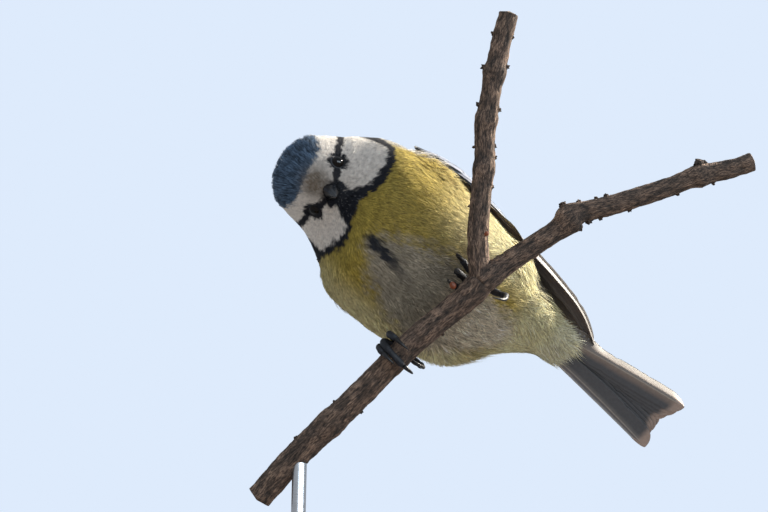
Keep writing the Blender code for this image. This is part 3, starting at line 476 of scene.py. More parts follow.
def plumage_material(name, roughness=0.8, sheen=0.08, spread=0.16, barbs=False):
    """Feather colour from the mesh, mottled finely; a vane's barbs run out from its shaft."""
    recipe = Recipe(name, roughness, Sheen_Weight=sheen, Sheen_Roughness=0.5,
                    Specular_IOR_Level=0.15)
    mottle = recipe.ranged(recipe.noise(recipe.place(), 1400.0), 1 - spread, 1 + spread)
    recipe.feed("Base Color", recipe.shaded(recipe.tint(), mottle))
    if barbs:
        fine = recipe.noise(recipe.stretched((0.9, 7.0, 0.6)), 1.6, 4.0, 0.6)
        recipe.bumped(fine, 0.2, 0.00012)
    return recipe.material


def vane_material(name):
    return plumage_material(name, 0.55, 0.0, 0.08, True)


def horn_material(name, roughness=0.28, spread=0.35, scale=900.0):
    recipe = Recipe(name, roughness, Specular_IOR_Level=0.22)
    cloud = recipe.noise(recipe.place(), scale, 4.0)
    recipe.feed("Base Color",
                recipe.shaded(recipe.tint(), recipe.ranged(cloud, 1 - spread, 1 + spread)))
    recipe.feed("Roughness", recipe.ranged(cloud, roughness * 0.7, roughness * 1.4))
    recipe.bumped(cloud, 0.25, 0.00008)
    return recipe.material


def scaly_material(name):
    recipe = Recipe(name, 0.6, Specular_IOR_Level=0.22)
    place = recipe.place()
    cells = recipe.node("TexVoronoi", {"Vector": place}, feature="DISTANCE_TO_EDGE", Scale=2600.0)
    edge = recipe.ranged(cells.outputs["Distance"], 0.0, 1.0, 0.0, 0.12)
    cloud = recipe.ranged(recipe.noise(place, 1300.0), 0.7, 1.35)
    recipe.feed("Base Color", recipe.shaded(recipe.tint(), cloud))
    recipe.bumped(edge, 0.4, 0.00006)
    return recipe.material


def bark_material(name, dark, pale):
    recipe = Recipe(name, 0.85, Specular_IOR_Level=0.3)
    streak = recipe.noise(recipe.stretched((7.5, 7.5, 0.9)), 1.0, 9.0, 0.75)
    blotch = recipe.noise(recipe.stretched((0.9, 0.9, 0.28)), 1.0, 4.0, 0.65)
    speck = recipe.noise(recipe.stretched((6.0, 6.0, 4.5)))
    grain = recipe.ramp(streak, dark, pale, 0.45, 0.60)
    worn = recipe.shaded(grain, recipe.ranged(blotch, 0.38, 1.4, 0.39, 0.61))
    dotted = recipe.shaded(worn, recipe.ranged(speck, 1.0, 1.7, 0.58, 0.70))
    product = recipe.node("VectorMath", {0: dotted, 1: recipe.tint()}, operation="MULTIPLY")
    recipe.feed("Base Color", product.outputs["Vector"])
    recipe.bumped(streak, 0.8, 0.00035)
    return recipe.material


def eye_material(name):
    recipe = Recipe(name, 0.06, IOR=1.30)
    fleck = recipe.ranged(recipe.noise(recipe.place(), 2500.0), 0.7, 1.4)
    recipe.feed("Base Color", recipe.shaded(recipe.tint(), fleck))
    return recipe.material


def wood_material(name, colour):
    recipe = Recipe(name, 0.42, Coat_Weight=0.15, Coat_Roughness=0.35)
    place = recipe.place()
    figure = recipe.noise(recipe.stretched((30.0, 420.0, 420.0), place), 1.0, 5.0, 0.6)
    wide = recipe.noise(recipe.stretched((6.0, 70.0, 70.0), place))
    grain = recipe.ramp(figure, [v * 0.45 for v in colour], [v * 1.5 for v in colour], 0.3, 0.7)
    recipe.feed("Base Color", recipe.shaded(grain, recipe.ranged(wide, 0.7, 1.3)))
    recipe.feed("Roughness", recipe.ranged(figure, 0.5, 0.36))
    recipe.bumped(figure, 0.2, 0.0002)
    return recipe.material


def steel_material(name, colour):
    recipe = Recipe(name, 0.3, Metallic=1.0)
    brush = recipe.noise(recipe.stretched((260.0, 260.0, 9000.0), recipe.place()))
    recipe.feed("Base Color", recipe.ramp(brush, [v * 0.85 for v in colour],
                                          [min(v * 1.15, 1) for v in colour]))
    recipe.feed("Roughness", recipe.ranged(brush, 0.24, 0.4))
    recipe.bumped(brush, 0.12, 0.00005)
    return recipe.material


# ---------------------------------------------------------------- the bird's outline

def body_sections():
    """Each section's centre, side axis, back axis, sizes and roundness, in the body's frame."""
    forward, left, up = HEAD_AXES.T
    rows = []
    for x, y, z, half_width, back, belly in TORSO_SECTIONS:
        turn = ease(x, TURN_START, TURN_END)
        side = np.array((0.0, 1.0, 0.0)) * (1 - turn) + left * turn
        dorsal = np.array((0.0, 0.0, 1.0)) * (1 - turn) - forward * turn
        rows.append((x, y, z, *side, *dorsal, half_width, back, belly, 2.0))
    for rise, shift, half_width, middle, back, front, roundness in HEAD_SECTIONS:
        centre = HEAD_PLACE + up * rise + forward * middle + left * shift
        rows.append((*centre, *left, *(-forward), half_width, back, front, roundness))
    return rows


class Flesh:
    """The bird's outline from the vent to the crown, by station along it and angle round it."""

    def __init__(self):
        self.stations = [(index, *row) for index, row in enumerate(body_sections())]
        self.last = len(self.stations) - 1
        self.rings = self.last * RINGS_PER_SECTION + 1
        self.sides = 128
        station = np.repeat(np.linspace(0, self.last, self.rings), self.sides)
        angle = np.tile(round_angles(self.sides), self.rings)
        self.places = self.at(station, angle)
        self.normals = self.normal(station, angle)
        self.faces = grid_faces(self.rings, self.sides, wrap=True)
        ends = [self.places[:self.sides].mean(axis=0), self.places[-self.sides:].mean(axis=0)]
        self.tree = BVHTree.FromPolygons(np.concatenate([self.places, ends]).tolist(),
                                         closed_grid(self.rings, self.sides))

    def at(self, station, angle):
        row = sampled(self.stations, station)
        across, rise = np.cos(angle), np.sin(angle)
        above = rise >= 0
        power = np.where(above, 1.0, 2.0 / row[:, 12])
        wide = np.sign(across) * np.abs(across) ** power * row[:, 9]
        tall = np.sign(rise) * np.abs(rise) ** power * np.where(above, row[:, 10], row[:, 11])
        return row[:, 0:3] + unit(row[:, 3:6]) * wide[:, None] + unit(row[:, 6:9]) * tall[:, None]

    def normal(self, station, angle, step=0.04):
        run = (self.at(np.clip(station + step, 0, self.last), angle)
               - self.at(np.clip(station - step, 0, self.last), angle))
        turn = self.at(station, angle + step) - self.at(station, angle - step)
        return unit(np.cross(turn, run))

    def nearest(self, places):
        """The closest place on the outline to each given one, and the way out there."""
        found, out = np.empty_like(places), np.empty_like(places)
        for index, place in enumerate(places.tolist()):
            found[index], out[index] = self.tree.find_nearest(place)[:2]
        return found, out


# ---------------------------------------------------------------- markings

# The dark collar's upper and lower edges by the turn round the head (degrees, left is positive).
COLLAR_TURN = (-180, -120, -95, -85, -71, -54, -41, -32, -26, -18, -8, 5, 25, 45, 55, 67, 75, 88,
               100, 120, 180)
COLLAR_TOP = (1.5, 1.0, -0.5, -2.5, -5.6, -6.3, -7.2, -7.5, -7.4, -6.4, -5.6, -5.4, -8.2, -9.4,
              -9.5, -8.8, -6.4, -3.4, -1.2, 0.5, 1.5)
COLLAR_FOOT = (-6.0, -7.0, -7.5, -7.2, -6.8, -7.6, -8.5, -8.8, -8.5, -7.9, -7.6, -7.7, -10.6, -11.2,
               -11.0, -10.7, -9.4, -7.4, -6.4, -6.2, -6.0)
# The eye stripe's level and half width by the turn round the head to either side.
STRIPE_TURN = (0, 17, 36, 50, 82, 120, 180)
STRIPE_LEVEL = (-0.9, -0.6, 0.3, 0.8, 0.8, 1.0, 1.0)
STRIPE_HALF = (0.4, 0.85, 1.3, 0.85, 0.8, 1.2, 1.8)
# The pale belly's left and right borders by the place along the body.
BELLY_ALONG = (-30, -26, -20, -14, -5, 0, 5, 10, 13, 15.5)
BELLY_LEFT = (0, 5.0, 6.4, 8.5, 10.2, 9.2, 7.6, 6.0, 4.2, 2.2)
BELLY_RIGHT = (0, -3.0, -7.0, -12.4, -11.5, -9.8, -7.4, -4.0, -0.6, 1.2)


def head_share(place):
    """A place in the head's frame, its turn round the head, and its height over the collar."""
    head = to_head(place)
    turn = np.degrees(np.arctan2(head[:, 1], head[:, 0] + HEAD_AXIS_BACK))
    return head, turn, head[:, 2] - np.interp(turn, COLLAR_TURN, COLLAR_FOOT)


def cap_edge(head):
    behind = 0.35 * np.clip(-head[:, 0] - 2, 0, None)
    return 4.9 + behind + 0.5 * np.exp(-(head[:, 1] / 3.0) ** 2)


def eye_gap(head):
    """How far places in the head's frame are from the nearer eye."""
    return np.min(np.linalg.norm(head[:, None, :] - EYE_SPOTS[None], axis=2), axis=1)


def markings(place, settings):
    """Plumage colour at places in the body's frame."""
    x, y, z = place.T
    head, turn, above = head_share(place)
    ahead, aside, up = head.T
    wander = ripple(place, 1.6, 11) * 0.22 + ripple(place, 0.6, 12) * 0.12

    def hue(key):
        return np.array(getattr(settings, key))

    def painted(colour, *layers):
        for key, share in layers:
            colour = mix(colour, hue(key), share)
        return colour

    # Body: yellow below and on the sides, a grey belly with a dark stripe, greenish above.
    side = ease(-x, -12, 12) * ease(y, 8, 15) + ease(-x, -28, -6) * ease(-y, 6, 14) * 0.8
    blur = 3.8 + ripple(place, 3.0, 13) * 1.4
    inside = np.minimum(np.interp(x, BELLY_ALONG, BELLY_LEFT) - y,
                        y - np.interp(x, BELLY_ALONG, BELLY_RIGHT)) + wander * 5
    pale = ease(inside, -blur, blur * 0.6) * ease(-z, 2, 6) * ease(x, -31, -25)
    pale = pale * ease(-x, -17, -14.5)
    # The shade layer paints the folded wing's shadow onto the dusky flank below it.
    body = painted(hue("breast"), ("flank", side * 0.85),
                   ("vent", ease(-x, 20, 30) * ease(-z, -4, 4)), ("vent", belly_wisp(place) * 0.9),
                   ("shade", under_edge(place, wander) * 0.85),
                   ("under_tail", ease(-x, 33, 40) * ease(-z, -6, 0)), ("belly", pale))
    body = body * (1 + 0.65 * pale * ease(-x, 4, 18))[:, None]
    centre = np.interp(x, (-10, -6.5, 1, 5, 9, 14, 18), (0.9, 0.9, -0.3, 1.2, 1.6, 2.2, 2.0))
    bold = np.interp(x, (-12, -6, 2, 6, 9, 15, 17), (0, 0.05, 0.2, 0.6, 1.0, 1.0, 0))
    half = np.interp(x, (-10, 2, 8, 14, 17), (1.6, 1.3, 1.35, 1.4, 0.8))
    streak = (1 - ease(np.abs(y - centre) + wander * 2.2, half * 0.5, half * 1.35)) * bold
    body = painted(body, ("stripe", streak * ease(-z, 4, 8)))
    low = np.interp(x, (-5, 5, 16, 22), (5.5, 3.4, 0.0, -1.5))
    back = ease(z + ripple(place, 2.5, 14) * 0.8 + wander, low, low + 3.2)
    # The mantle is painted whitish on the bird's left shoulder only, a painted highlight where the
    # key light grazes the back.
    mantle = mix(hue("mantle"), hue("white") * 0.6, ease(y, 3, 8) * ease(x, -2, 4) * 0.85)
    body = mix(body, painted(mantle, ("rump", ease(-x, 22, 36) * 0.7)), back)

    # Head: white face and brow, dark stripe through the eye, bib and collar, blue cap.
    dusk = np.clip(ripple(place, 1.1, 15) * 0.5 + ripple(place, 0.45, 16) * 0.5, -1, 1)
    near_bill = np.exp(-((ahead - 3.2) ** 2 + (aside - BILL_SIDE) ** 2 * 0.7
                         + (up + 1.2) ** 2 * 0.7) / 5.5)
    level = np.interp(np.abs(turn), STRIPE_TURN, STRIPE_LEVEL)
    half = np.interp(np.abs(turn), STRIPE_TURN, STRIPE_HALF)
    stripe = 1 - ease(np.abs(up - level) + wander, half - 0.35, half + 0.3)
    around = np.hypot(aside - BILL_SIDE, up - BILL_GAPE) + wander * 1.5
    mask = 1 - ease(around - (1.0 + 0.7 * ease(-up, 0.6, 2.4)), 1.4, 2.2)
    width = 1.25 + 0.75 * np.clip(-2.6 - up, 0, None)
    bib = 1 - ease(np.abs(aside + 0.9) + wander, width - 0.4, width + 0.4)
    collar = up - np.interp(turn, COLLAR_TURN, COLLAR_TOP)
    nape = ease(np.abs(turn), 140, 165) * (1 - ease(np.abs(up + 3.0), 0.8, 2.2))
    off_soil = ((ahead - 3.2) / 3.6) ** 2 + (aside / 3.8) ** 2 + ((up - 3.3) / 3.0) ** 2
    soil = np.exp(-off_soil ** 1.3)
    face = painted(hue("white") * (1 + 0.06 * dusk)[:, None],
                   ("smudge", np.clip(near_bill * (0.75 + 0.25 * dusk), 0, 1)), ("black", stripe),
                   ("black", 1 - ease(eye_gap(head) + wander * 0.8, 2.2, 2.7)),
                   ("black", mask * ease(ahead, -1, 1) * (1 - 0.5 * ease(up, -0.6, 1.0))),
                   ("black", bib * ease(-up, 1.6, 2.4) * ease(ahead, -3, -1)),
                   ("black", 1 - ease(collar + wander * 1.3, -0.45, 0.45)),
                   ("white", nape * 0.45),
                   ("cap", ease(up - cap_edge(head) + wander * 1.8, -0.5, 0.6)),
                   ("smudge", np.clip(soil * (1.0 + 0.25 * dusk), 0, 1)))
    return mix(body, face, ease(above + wander * 1.2, -0.35, 0.35))


def under_edge(place, wander=0.0):
    """The dusky flank that lies behind the pale side feathers, under each folded wing, with the
    wing's shadow painted in.
    """
    x, y, z = place.T
    low = np.interp(x, (-38, -31.5, -30, -26, -22, -18), (3.5, 3.0, -2.5, -2.4, 1.8, 3.0))
    band = ease(z + wander * 2.0, low - 0.5, low + 0.7)
    return band * ease(-x, 16, 18) * ease(-z, -8, -6) * ease(np.abs(y), 4, 6)


def belly_wisp(place):
    """Where loose fluff hangs from the right edge of the belly."""
    x, y, z = place.T
    return np.exp(-((x + 18) / 6.0) ** 2) * ease(-y, 4, 9) * ease(-z, 5, 8)


def wing_edges(place):
    """For each wing: whether a place is on its side, and its outer and inner edges beside it."""
    for stations in (LEFT_WING, RIGHT_WING):
        table = sampled(stations, place[:, 0])
        yield np.sign(place[:, 1]) == np.sign(stations[0][1]), table[:, 0:2], table[:, 2:4]


def wing_nearness(place):
    """How close a place lies below the edge of its folded wing, 1 at the edge and 0 far below."""
    x, y, z = place.T
    near = np.zeros(len(place))
    along = ease(x, -40, -30) * (1 - ease(x, 13, 19))
    for _, outer, _ in wing_edges(place):
        below = outer[:, 1] - z
        same = np.sign(y) == np.sign(outer[:, 0])
        near = np.maximum(near, same * along * (1 - ease(below, 2, 12)) * ease(below, -2.5, 0.5))
    return near


def under_wing(place):
    """Whether a place on the flank lies well under a folded wing."""
    x, _, z = place.T
    hidden = np.zeros(len(place), dtype=bool)
    for same, outer, inner in wing_edges(place):
        chord = inner - outer
        across = np.sum((place[:, 1:3] - outer) * chord, axis=1) / np.sum(chord ** 2, axis=1)
        hidden |= same & (x < 6) & (x > -40) & (across > 0.22) & (across < 0.80) & (z > 0)
    return hidden


# ---------------------------------------------------------------- skin and coat

def clearing(head, bill_low, bill_high, eye_high):
    """0 at the bill and the eyes, 1 well away from them."""
    near_bill = np.linalg.norm(head - BILL_ROOT, axis=1)
    return np.minimum(ease(near_bill, bill_low, bill_high), ease(eye_gap(head), 1.6, eye_high))


def coat_depth(place, settings):
    """How far the skin lies inside the outline, in mm."""
    head, _, above = head_share(place)
    depth = settings.coat_depth / MM * (1 - 0.38 * ease(above, -2, 2))
    return 0.35 + (depth - 0.35) * clearing(head, 1.5, 5.5, 4.2)


def lie_of(place, normal):
    """The way the feathers point, along the outline."""
    x, y, z = place.T
    head = to_head(place)
    none = np.zeros(len(place))
    away = unit(head - BILL_ROOT + (1.5, 0.0, 0.0)) @ HEAD_AXES.T
    spots = head[:, None, :] - EYE_SPOTS[None]
    nearest = np.argmin(np.linalg.norm(spots, axis=2), axis=1)
    outward = spots[np.arange(len(head)), nearest]
    bend = 2.2 * (1 - ease(np.linalg.norm(outward, axis=1), 2.2, 4.0))
    away = away + (unit(outward) @ HEAD_AXES.T) * bend[:, None]
    spread = np.sign(y) * ease(np.abs(y), 0, 9) * 0.30 * ease(-z, 4, 14)
    climb = wing_nearness(place) * ease(x, 2, 9) * 0.4
    wisp = belly_wisp(place)[:, None] * np.array((0.0, -0.5, -0.25))
    back = np.stack([none - 1.0, spread, climb], axis=1) + wisp
    turn = ease(x + ripple(place, 6.0, 21), 13, 23)[:, None]
    way = unit(away * turn + back * (1 - turn))
    return unit(way - normal * np.sum(way * normal, axis=1, keepdims=True))


def feather_shape(place):
    """Length, width, lift of the tip and spread of feathers, and how uneven they are, by place."""
    x, y, z = place.T
    head, _, above = head_share(place)
    on_head = ease(above, -1.5, 1.5)
    off_head = 1 - on_head
    on_cap = ease(head[:, 2] - cap_edge(head), -0.8, 0.8) * on_head
    close = clearing(head, 2.0, 6.5, 4.5)
    wisp, hidden = belly_wisp(place), under_edge(place)
    fluff = ease(-z, 6, 14) * ease(-x, -8, 4)
    low_side = 1 - ease(z, 2, 5)
    vent = ease(-x, 22, 28) * (1 - ease(-x, 37, 41)) * ease(y, 3, 7)
    vent = vent * (1 - ease(z, 2, 6)) * (1 - hidden)
    side = ease(-x, 10, 16) * (1 - ease(-x, 30, 36)) * ease(np.abs(y), 6, 10) * (1 - hidden)
    length = (4.2 + 1.2 * ease(-x, -2, 14) + 0.8 * ease(-x, 20, 34) + 0.8 * fluff
              + 1.8 * ease(-x, 0, 12) * ease(np.abs(y), 8, 13) * low_side)
    length = (length + 2.6 * wisp + 1.0 * side + 1.3 * vent) * (1 - 0.35 * hidden)
    length = (length * off_head + (1.9 + 0.8 * on_cap) * on_head) * (0.42 + 0.58 * close)
    width = (0.17 * off_head + (0.125 - 0.025 * on_cap) * on_head) * (0.7 + 0.3 * close)
    lift = 0.12 * off_head + (0.02 + 0.42 * on_cap) * on_head + 0.25 * fluff * off_head
    over_wing = wing_nearness(place) * off_head
    lift = (lift * close + over_wing * (0.1 + 0.5 * ease(x, -12, 0) + 1.1 * ease(x, 2, 9))
            + 1.1 * wisp + 0.8 * side * ease(z, -9, -3) * (1 - ease(-x, 16, 22))
            + 1.1 * vent * ease(-z, -0.5, 1.5)) * (1 - hidden) - 0.3 * hidden
    spread = 17 * off_head + 11 * on_head + 9 * fluff
    uneven = (0.22 + 0.08 * fluff) * off_head + 0.06 * on_head + 0.36 * on_cap
    return length, width, lift, spread, uneven


FLESH_NODES = ("head", "neck", "torso")


def skin_piece(flesh, settings):
    """One skin from the vent to the crown, inside the outline by the coat's depth."""
    start = SLEEVE_SECTIONS * RINGS_PER_SECTION * flesh.sides
    places = flesh.places[start:]
    places = places - flesh.normals[start:] * coat_depth(places, settings)[:, None]
    points = np.concatenate([places, [places[:flesh.sides].mean(axis=0),
                                      places[-flesh.sides:].mean(axis=0)]])
    bag = Bag()
    # The skin carries the markings at half brightness: darker down, with painted shade where it
    # shows through the gaps of the coat.
    bag.add(points, closed_grid(len(places) // flesh.sides, flesh.sides),
            tints=markings(points, settings) * 0.5)
    bag.build("skin", plumage_material("downy_skin", 0.85, 0.2), "body_plumage", FLESH_NODES,
              to_world)


# The coat's pieces: name, slot and stations.
COAT_STRETCHES = (
    ("rump_vent", "body_plumage", 2.55, 6.2),
    ("belly_back", "body_plumage", 6.2, 9.2),
    ("breast", "body_plumage", 9.2, 13.4),
    ("head", "head_plumage", 13.4, 21.0),
)


def scattered_roots(flesh, low, high, half, count, vary):
    """Stations and angles of roots, spread by area and by how short the feathers are."""
    ring = np.repeat(np.arange(flesh.rings - 1), flesh.sides)
    column = np.tile(np.arange(flesh.sides), flesh.rings - 1)
    a, b, d = (flesh.places[flesh.faces[:, k]] for k in (0, 1, 3))
    area = np.linalg.norm(np.cross(b - a, d - a), axis=1)
    station = (ring + 0.5) / RINGS_PER_SECTION
    side = np.where(np.cos((column + 0.5) * TAU / flesh.sides) >= 0, 1, -1)
    keep = (station >= low) & (station < high) & (side == half)
    length, _, _, _, uneven = feather_shape(a)
    weight = area * keep / length ** 1.3 * (1 - ease(uneven, 0.2, 0.4) * 0.55)
    weight = weight * np.where(under_wing(a), 0.12, 1.0)
    pick = np.searchsorted(np.cumsum(weight) / weight.sum(),
                           (np.arange(count) + vary.random(count)) / count)
    pick = np.minimum(pick, len(weight) - 1)
    station = (ring[pick] + vary.random(count)) / RINGS_PER_SECTION
    return station, (column[pick] + vary.random(count)) * TAU / flesh.sides


def bare(head):
    """Whether a place in the head's frame lies in an open eye or under the bill."""
    across = np.hypot(head[:, 1] - BILL_SIDE, head[:, 2] - BILL_GAPE)
    clear = (head[:, 0] > 1.2) & (across < 1.7)
    for spot, look in zip(EYE_SPOTS, unit(EYE_LOOKS)):
        offset = head - spot
        gap = np.linalg.norm(offset - look * (offset @ look)[:, None], axis=1)
        clear |= (gap < EYE_OPENING) & (np.linalg.norm(offset, axis=1) < 4)
    return clear


# A strip: how far along each pair of points lies, their share of its width, its patch on the map
# of the coat, and its triangles.  The last station is a single point.
STRIP_STAGES = (0.0, 0.36, 0.70, 1.0)
STRIP_WIDTHS = (0.75, 1.0, 0.72, 0.0)
STRIP_PATCH = np.array([(-1, -1), (1, -1), (-1, -0.3), (1, -0.3), (-0.8, 0.4), (0.8, 0.4),
                        (0, 1)]) * 0.0015
STRIP_FACES = np.array([(0, 1, 3), (0, 3, 2), (2, 3, 5), (2, 5, 4), (4, 5, 6)])
FROST = 0.42


def coat_piece(flesh, settings, name, slot, low, high, half, seed, material):
    """Feathers of one stretch and side of the bird, in tufts of fine strips."""
    vary = np.random.default_rng(seed)
    per_tuft = settings.strips_per_tuft
    tufts = settings.tufts_per_piece // 1
    station, angle = scattered_roots(flesh, low, high, half, tufts, vary)
    clad = ~bare(to_head(flesh.at(station, angle)))
    station, angle = station[clad], angle[clad]
    root, normal = flesh.at(station, angle), flesh.normal(station, angle)
    tufts = len(root)
    lie = lie_of(root, normal)
    length, width, lift, spread, uneven = feather_shape(root)
    tone = 1 + np.clip(vary.normal(0, 1, tufts) * uneven * 0.8, -0.6, 0.8)
    twist = np.radians(vary.normal(0, 6, tufts))
    loose = ease(-root[:, 0], 8, 18) * 0.25
    long = length * vary.uniform(0.8 - loose, 1.15 + loose, tufts)
    rise = lift * vary.uniform(0.3, 1.7, tufts)

    # Spread each tuft into its strips.
    def each(values):
        return np.repeat(values, per_tuft, axis=0)

    total = tufts * per_tuft
    fan = np.tile(np.linspace(-1, 1, per_tuft), tufts) + vary.uniform(-0.12, 0.12, total)
    long, lie, across, uneven = each(long), each(lie), each(np.cross(lie, normal)), each(uneven)
    start = each(root) + across * (fan * long * 0.10)[:, None]
    start = start - lie * (vary.uniform(0, 0.25, total) * long)[:, None]
    turn = each(twist) + np.radians(each(spread)) * fan + np.radians(vary.normal(0, 3.0, total))
    way = lie * np.cos(turn)[:, None] + across * np.sin(turn)[:, None]
    reach = long * (1 - 0.28 * fan ** 2) * vary.uniform(0.82, 1.08, total)
    wide = each(width) * vary.uniform(0.7, 1.3, total)
    deep = each(coat_depth(root, settings)) * 0.9
    tip = each(rise) + vary.normal(0, 0.06, total) * np.clip(each(length) / 3, 0.3, 1.4)
    shade = each(tone) * (1 + np.clip(vary.normal(0, 1, total), -1.6, 1.8) * uneven)
    roll = np.radians(vary.normal(0, 10, total))[:, None]
    sway = (across * vary.normal(0, 0.12, total)[:, None]
            + way * vary.normal(0, 0.08, total)[:, None])

    spine, outs = [start - each(normal) * deep[:, None]], [each(normal)]
    for t in STRIP_STAGES[1:]:
        spot, out = flesh.nearest(start + way * (reach * t)[:, None])
        height = -deep + (deep + tip) * (1 - (1 - t) ** 3.2)
        spine.append(spot + out * height[:, None])
        outs.append(out)
    pairs, facing = [], []
    for index, share in enumerate(STRIP_WIDTHS):
        run = unit(spine[min(index + 1, 3)] - spine[max(index - 1, 0)])
        out = outs[index]
        turned = np.cross(run, out) * np.cos(roll) + out * np.sin(roll)
        half_width = turned * (wide * share / 2)[:, None]
        own = unit(np.cross(turned, run))
        own = own * np.sign(np.sum(own * out, axis=1))[:, None]
        pairs += [spine[index] - half_width, spine[index] + half_width]
        facing += [unit(out * 0.75 + own * 0.25 + sway)] * 2
    points, facing = np.stack(pairs[:7], axis=1), np.stack(facing[:7], axis=1)

    colour = markings(spine[2], settings) * shade[:, None]
    # Strips darken toward the root: partly the grey down of the feathers, partly painted shade in
    # the gaps of the coat; the tips are a little lighter.
    down_and_gap_shade = np.clip(0.80 - uneven * 2.5, 0.12, 0.7)[:, None]
    rows = [colour * down_and_gap_shade, colour * (0.45 + 0.55 * down_and_gap_shade ** 0.5), colour, colour * 1.1]
    tints = np.stack([rows[index // 2] for index in range(7)], axis=1)
    tip_place, _, above = head_share(spine[2])
    chin = (1 - ease(np.abs(tip_place[:, 1] + 1.2), 2.0, 4.5)) * ease(-tip_place[:, 2], 2.2, 3.4)
    chin = chin * ease(tip_place[:, 0], -2, 0) * ease(above, -0.2, 0.6)
    tints[vary.random(total) < 0.035 * chin, 5:7] = FROST

    # Each strip's patch lies at its root's place on the unrolled outline.
    u = each((station - low) / (high - low))
    v = each(np.arcsin(np.clip(np.sin(angle), -1, 1)) / math.pi + 0.5)
    chart = np.stack([u, v], axis=1)[:, None, :] * 0.994 + 0.003 + STRIP_PATCH[None]

    corners = (np.arange(total)[:, None, None] * 7 + STRIP_FACES[None]).reshape(-1)
    mesh = bpy.data.meshes.new(name)
    mesh.vertices.add(total * 7)
    filled(mesh.vertices, "co", to_world(points.reshape(-1, 3)))
    mesh.loops.add(len(corners))
    filled(mesh.loops, "vertex_index", corners, np.int32)
    mesh.polygons.add(total * 5)
    filled(mesh.polygons, "loop_start", np.arange(0, len(corners), 3), np.int32)
    filled(mesh.polygons, "use_smooth", np.ones(total * 5), bool)
    mesh.update(calc_edges=True)
    mesh.normals_split_custom_set_from_vertices(unit(facing.reshape(-1, 3) @ BODY_AXES.T))
    write_colour(mesh, tints.reshape(-1, 3))
    filled(mesh.uv_layers.new(name="OFBake").data, "uv", chart.reshape(-1, 2)[corners])
    hand_over(name, mesh, material, slot, FLESH_NODES)


# ---------------------------------------------------------------- vanes

VANE_ACROSS = np.array((-1, -0.9, -0.6, -0.3, -0.07, 0, 0.07, 0.3, 0.6, 0.9, 1))
VANE_HALF_THICK = 0.06


def vane(bag, route, sides, outward, half_widths, lean, tint, seed, camber=0.35, curl=0.0):
    """One feather: a thin curved plate on a raised shaft; lean is the outer web's share, and curl
    the angle by which that web's edge turns up."""
    vary = np.random.default_rng(seed)
    route = np.asarray(route)
    sides, outward = np.asarray(sides)[:, None], np.asarray(outward)[:, None]
    half_widths = np.asarray(half_widths)[:, None]
    rows, columns, u = len(route), len(VANE_ACROSS), VANE_ACROSS
    t = np.linspace(0, 1, rows)
    notch = np.ones((rows, 2))
    for web in (0, 1):
        for _ in range(vary.integers(1, 4)):
            place = vary.uniform(0.35, 0.97)
            notch[:, web] -= vary.uniform(0.05, 0.18) * np.exp(-((t - place) / 0.012) ** 2)
    notch *= 1 + vary.normal(0, 0.005, notch.shape)
    share = np.where(u[None] < 0, 2 * lean * notch[:, :1], 2 * (1 - lean) * notch[:, 1:])
    turned = np.clip(-u - 0.12, 0, None)[None] * share * half_widths
    bend = np.radians(curl) * ease(t, 0.2, 0.45)[:, None]
    reach = u[None] * share * half_widths + turned * (1 - np.cos(bend))
    arch = camber * (1 - u ** 2)[None] * np.clip(half_widths, 0, 2) / 2 + turned * np.sin(bend)
    middle = route[:, None] + sides * reach[..., None] + outward * arch[..., None]
    tilt = (bend * ease(-u, 0.0, 0.3)[None])[..., None]
    faces_out = outward * np.cos(tilt) + sides * np.sin(tilt)
    shaft = np.exp(-(u / 0.06) ** 2)[None] * (0.10 * (1 - t) + 0.03)[:, None]
    body = VANE_HALF_THICK * (1 - u ** 4)[None]
    upper = middle + faces_out * (body + shaft)[..., None]
    lower = middle - faces_out * (body + shaft * 0.6)[..., None]

    size = rows * columns
    faces = grid_faces(rows, columns)
    order = faces.tolist() + (faces[:, ::-1] + size).tolist()
    for low in range(0, size - columns, columns):
        order.append((low, low + size, low + columns + size, low + columns))
    for low in range(columns - 1, size - columns, columns):
        order.append((low + columns, low + columns + size, low + size, low))
    for step in range(columns - 1):
        top = size - columns + step
        order += [(step, step + 1, step + 1 + size, step + size),
                  (top + 1, top, top + size, top + 1 + size)]
    over, along = np.tile(u, rows), np.repeat(t, columns)
    tone = 1 + vary.normal(0, 0.05)
    tints = np.concatenate([tint(over, along, True), tint(over, along, False)]) * tone
    lengthwise = np.repeat(run_along(route), columns) - np.abs(reach).ravel() * 1.2
    grain = np.stack([reach.ravel(), lengthwise, np.full(size, seed * 1.7)], axis=1)
    bag.add(np.concatenate([upper.reshape(-1, 3), lower.reshape(-1, 3)]), order,
            np.concatenate([grain, grain]), tints)


